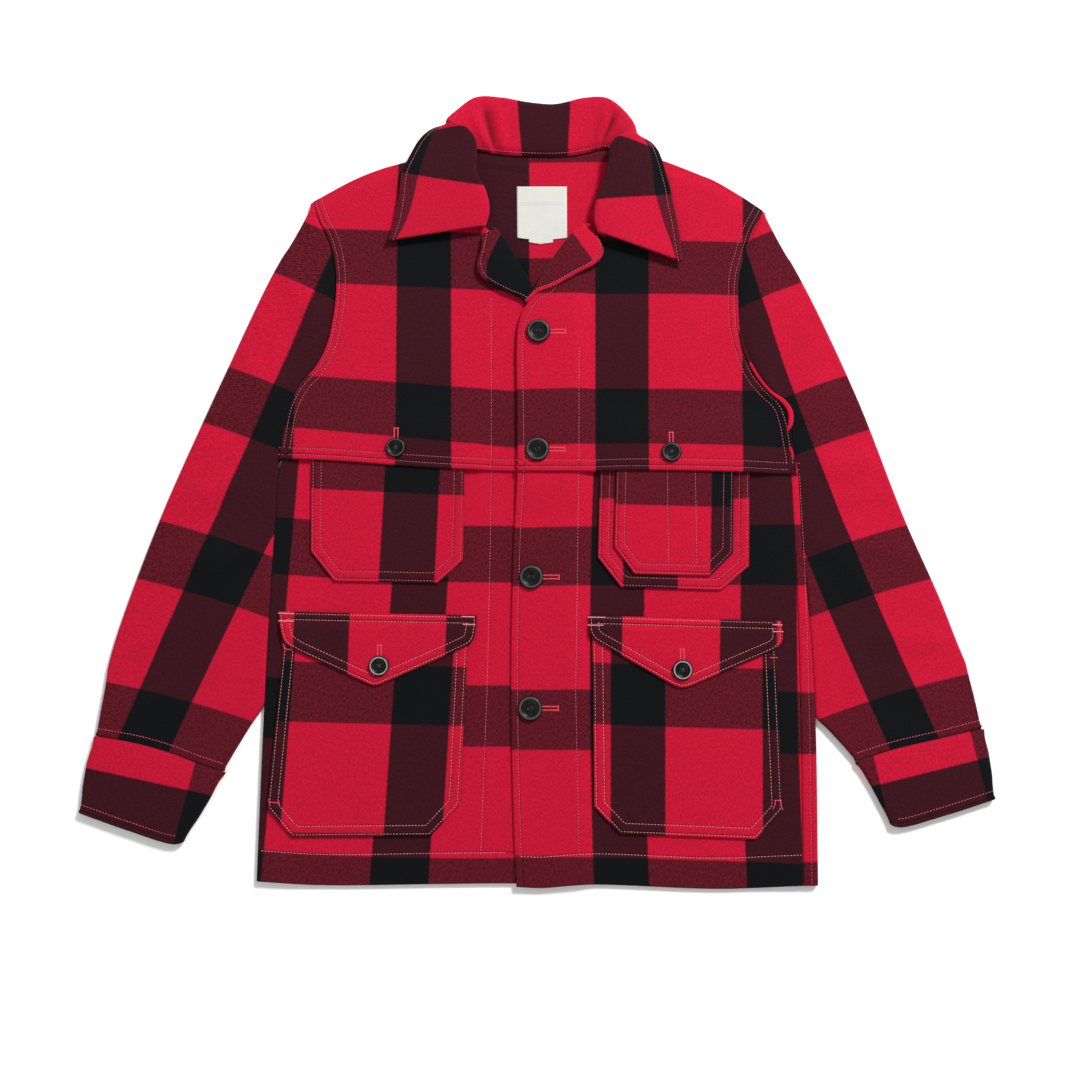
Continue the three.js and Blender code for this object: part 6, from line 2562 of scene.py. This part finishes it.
class Studio:
    """Floor, lights and the camera at the photograph's angle."""

    def build(self) -> None:
        """Builds them all."""
        self.floor()
        self.lights()
        self.camera()

    @staticmethod
    def floor() -> None:
        """A plain pale floor that curves up nowhere."""
        half, below = 6000.0, -0.4
        corners = np.array([(x * half, y * half, below) for x, y in ((-1, -1), (1, -1), (1, 1), (-1, 1))])
        floor = mesh_object("floor", corners, np.array([(0, 1, 2, 3)]), PaleFloor().material())

    @staticmethod
    def lights() -> None:
        """A large soft light towards the collar, a weaker one from the hem, and a pale world."""
        for name, place, size, power in (
            ("key", (1.55, 2.00, 2.35), 0.75, 128.0),
            ("fill", (-0.9, -1.6, 2.6), 2.4, 16.0),
        ):
            lamp = bpy.data.lights.new(name, "AREA")
            lamp.shape, lamp.size, lamp.energy = "DISK", size, power
            holder = linked(name, lamp)
            holder.location = place
            aim = Vector((0.0, 0.0, 0.0)) - Vector(place)
            holder.rotation_mode = "QUATERNION"
            holder.rotation_quaternion = aim.to_track_quat("-Z", "Y")
        world = bpy.data.worlds.new("pale")
        world.use_nodes = True
        colour, strength = world.node_tree.nodes["Background"].inputs[:2]
        colour.default_value, strength.default_value = (1.0, 1.0, 1.0, 1.0), 0.44
        bpy.context.scene.world = world
        bpy.context.scene.view_settings.view_transform = "Standard"

    @staticmethod
    def camera() -> None:
        """The camera above the jacket, its up towards the collar."""
        lens = bpy.data.cameras.new("camera")
        lens.sensor_width = 36.0
        lens.lens = VIEW.focal / VIEW.frame * lens.sensor_width
        holder = linked("camera", lens)
        back = VIEW.distance
        holder.location = (VIEW.aim[0] * MM, (VIEW.aim[1] - back * math.sin(VIEW.tilt)) * MM,
                           back * math.cos(VIEW.tilt) * MM)
        holder.rotation_euler = (VIEW.tilt, 0.0, 0.0)
        bpy.context.scene.camera = holder


def pockets() -> list[Pocket]:
    """The five patch pockets.

    Returns:
        One for each pocket.
    """
    return [
        Pocket("chest_pocket_right", Side.RIGHT, POCKET_TOP_Y, (-227, -73),
               ((-225, -76), (-201, -106), (-99, -108), (-74, -85)), 1,
               CheckLay(stripes=((385, 475, 0), (440, 475, .365), (379, 575, 0), (435, 575, .365)),
                        bands=((312, 489, .365), (463, 496, .365))), (0.155, 0.125), "front_right"),
        Pocket("chest_pocket_left_outer", Side.LEFT, POCKET_TOP_Y, (63, 213),
               ((60, -82), (83, -112), (182, -115), (210, -91)), 1,
               CheckLay(stripes=((623, 580, 0), (677.6, 580, .365)),
                        bands=((602, 499, .365), (748, 499, .365))), (0.152, 0.130), "front_left"),
        Pocket("chest_pocket_left_inner", Side.LEFT, POCKET_TOP_Y, (79, 197),
               ((76, -71), (96, -99), (171, -101), (194, -78)), 2,
               CheckLay(stripes=((711.4, 480, 1), (709.5, 570, 1)),
                        bands=((617, 505, .365),
                               (733, 508, .365))), (0.12, 0.118), "chest_pocket_left_outer",
               pen_lines=(((130, 8), (130, -97)), ((158, 8), (158, -97)))),
        Pocket("hip_pocket_right", Side.RIGHT, HIP_TOP_Y, (-249, -68),
               ((-261, -326), (-236, -354), (-103, -353), (-75, -323)), 1,
               CheckLay(stripes=((394, 690, 0), (451.5, 690, .365), (384, 830, 0), (442.6, 830, .365),
                                 (295, 660, -.635), (283.5, 800, -.635)),
                        bands=((290, 662, 0), (290, 720, .365), (460, 667, 0), (460, 726, .365),
                               (310, 833.5, 1), (430, 833, 1))),
               (0.187, 0.195), "front_right", Thread.PALE),
        Pocket("hip_pocket_left", Side.LEFT, HIP_TOP_Y, (54, 234),
               ((55, -325), (80, -351), (211, -356), (237, -328)), 1,
               CheckLay(stripes=((611, 660, 0), (664.6, 660, .365), (762.4, 660, 1), (611, 800, 0),
                                 (664.6, 800, .365), (762.4, 800, 1)),
                        bands=((600, 663, 0), (600, 723.5, .365), (775, 670, 0), (775, 728, .365),
                               (650, 841, 1), (740, 843, 1))),
               (0.184, 0.193), "front_left", Thread.PALE),
    ]


def flaps() -> list[Flap]:
    """The two pointed flaps of the hip pockets.

    Returns:
        One for each flap.
    """
    return [
        Flap("hip_flap_right", Side.RIGHT, ((-255, -136), (-60, -140)),
             (((-253, -150), (-248, -166), (-236, -175)), ((-236, -175), (-166, -206.8)),
              ((-166, -206.8), (-159, -209.2), (-152, -206.9)), ((-152, -206.9), (-82, -176)),
              ((-82, -176), (-64, -166), (-60, -151))),
             CheckLay(stripes=((293, 620, 0), (350, 620, .365), (296, 650, 0), (348, 670, .365),
                               (448, 620, 1), (444, 655, 1)),
                      bands=((300, 620, .62), (460, 620, .62), (370, 680, .97))),
             (0.195, 0.07), "hip_pocket_right"),
        Flap("hip_flap_left", Side.LEFT, ((51, -139.8), (240, -145.6)),
             (((51, -156), (56, -164), (66, -170)), ((66, -170), (131, -207.3)),
              ((131, -207.3), (140.5, -211.0), (150, -209.2)), ((150, -209.2), (233, -174)),
              ((233, -174), (240, -166), (241, -157))),
             CheckLay(stripes=((622, 620, .365), (622, 650, .365), (720, 630, 1), (718, 668, 1),
                               (776, 635, 1.365)),
                      bands=((600, 620, .62), (770, 620, .62), (685, 685, .97))),
             (0.190, 0.07), "hip_pocket_left"),
    ]


def sleeves() -> list[Sleeve]:
    """Both sleeves with their cuffs.

    Returns:
        One for each sleeve.
    """
    return [
        Sleeve(Side.RIGHT, ARMHOLE_RIGHT, SLEEVE_OUTER_RIGHT, CUFF_SEAM_RIGHT, SIDE_RIGHT, 0.955,
               CUFF_OUTER_RIGHT, CUFF_HEM_RIGHT, CUFF_INNER_RIGHT,
               CheckLay(stripes=((327, 251, 0), (317.5, 267, 0), (315, 293, 0), (310, 310, 0),
                                 (297, 347, 0), (279, 386, 0), (254, 440, 0), (205, 537, 0),
                                 (181, 590, 0), (133, 697, 0), (122, 739, 0), (276, 525, .365),
                                 (263, 556, .365), (240, 605, .365), (220, 640, .365), (187, 712, .365),
                                 (172, 752, .365)),
                        bands=((306.5, 221, 0), (327, 238, 0), (273, 273, .365), (301, 283, .365),
                               (315, 293, .365), (334, 301, .365), (229.7, 367, 1), (278.5, 385, 1),
                               (293.6, 388, 1), (204.7, 422, 1.365), (253.5, 438, 1.365),
                               (278.5, 446, 1.365), (160, 520, 2), (205, 537, 2), (263, 556, 2),
                               (137, 578, 2.365), (181, 590, 2.365), (240, 605, 2.365), (103.5, 689, 3),
                               (133, 697, 3), (187, 712, 3), (95, 735, 3.365), (122, 739, 3.365),
                               (172, 752, 3.365)), turn=-24, freedom=20),
               CheckLay(stripes=((195, 765, 0), (190, 790, 0), (178, 825, 0), (88, 765, -.61),
                                 (82, 790, -.61), (74, 825, -.61)),
                        bands=((88, 768, 0), (190, 790, 0)), turn=-15)),
        Sleeve(Side.LEFT, ARMHOLE_LEFT, SLEEVE_OUTER_LEFT, CUFF_SEAM_LEFT, SIDE_LEFT, 0.985,
               CUFF_OUTER_LEFT, CUFF_HEM_LEFT, CUFF_INNER_LEFT,
               CheckLay(stripes=((750, 253, .365), (762, 302, .365), (775, 345, .365), (791, 392, .365),
                                 (813, 447, .365), (852, 541, .365), (875, 597, .365), (920, 695, .365),
                                 (935, 735, .365), (808, 556, 0), (828, 612, 0), (870, 708, 0),
                                 (888, 747, 0)),
                        bands=((750, 247, 0), (772, 231, 0), (762, 296, .365), (802, 282, .365),
                               (791, 392, 1), (820, 382, 1), (848, 375, 1), (813, 447, 1.365),
                               (872, 430, 1.365), (808, 556, 2), (852, 541, 2), (905, 525, 2),
                               (828, 612, 2.365), (875, 597, 2.365), (930, 580, 2.365), (870, 708, 3),
                               (920, 695, 3), (970, 678, 3), (888, 747, 3.365), (935, 735, 3.365),
                               (984, 725, 3.365)), turn=22, freedom=20),
               CheckLay(stripes=((874, 758, .365), (879, 784, .365), (970, 733, 1), (976, 760, 1)),
                        bands=((879, 784, 0), (976, 760, 0)), turn=15)),
    ]


def main() -> None:
    """Builds the jacket round the frame, then the studio."""
    logging.basicConfig(level=logging.INFO, format="%(name)s: %(message)s")
    shop = Shop(WoolCheck().material(), Sewing())
    Studio().build()
    Fronts().build(shop)
    for pocket in pockets():
        pocket.build(shop)
    for flap in flaps():
        flap.build(shop)
    Yokes().build(shop)
    for sleeve in sleeves():
        sleeve.build(shop)
    SeamRoll(((740, 329), (744, 349), (757, 375), (771, 392), (783, 401), (790, 411), (790.5, 424),
              (787, 431)), 3.2, 0.30, 0.75).build(shop, "cloth_armhole_roll_upper", 8.6)
    SeamRoll(((789.5, 446), (793, 456), (797, 474)), 3.4).build(shop, "cloth_armhole_roll_lower", 8.2)
    Neck().build(shop)
    Fastenings().build(shop)
    shop.sewing.make_all()


if __name__ == "__main__":
    main()
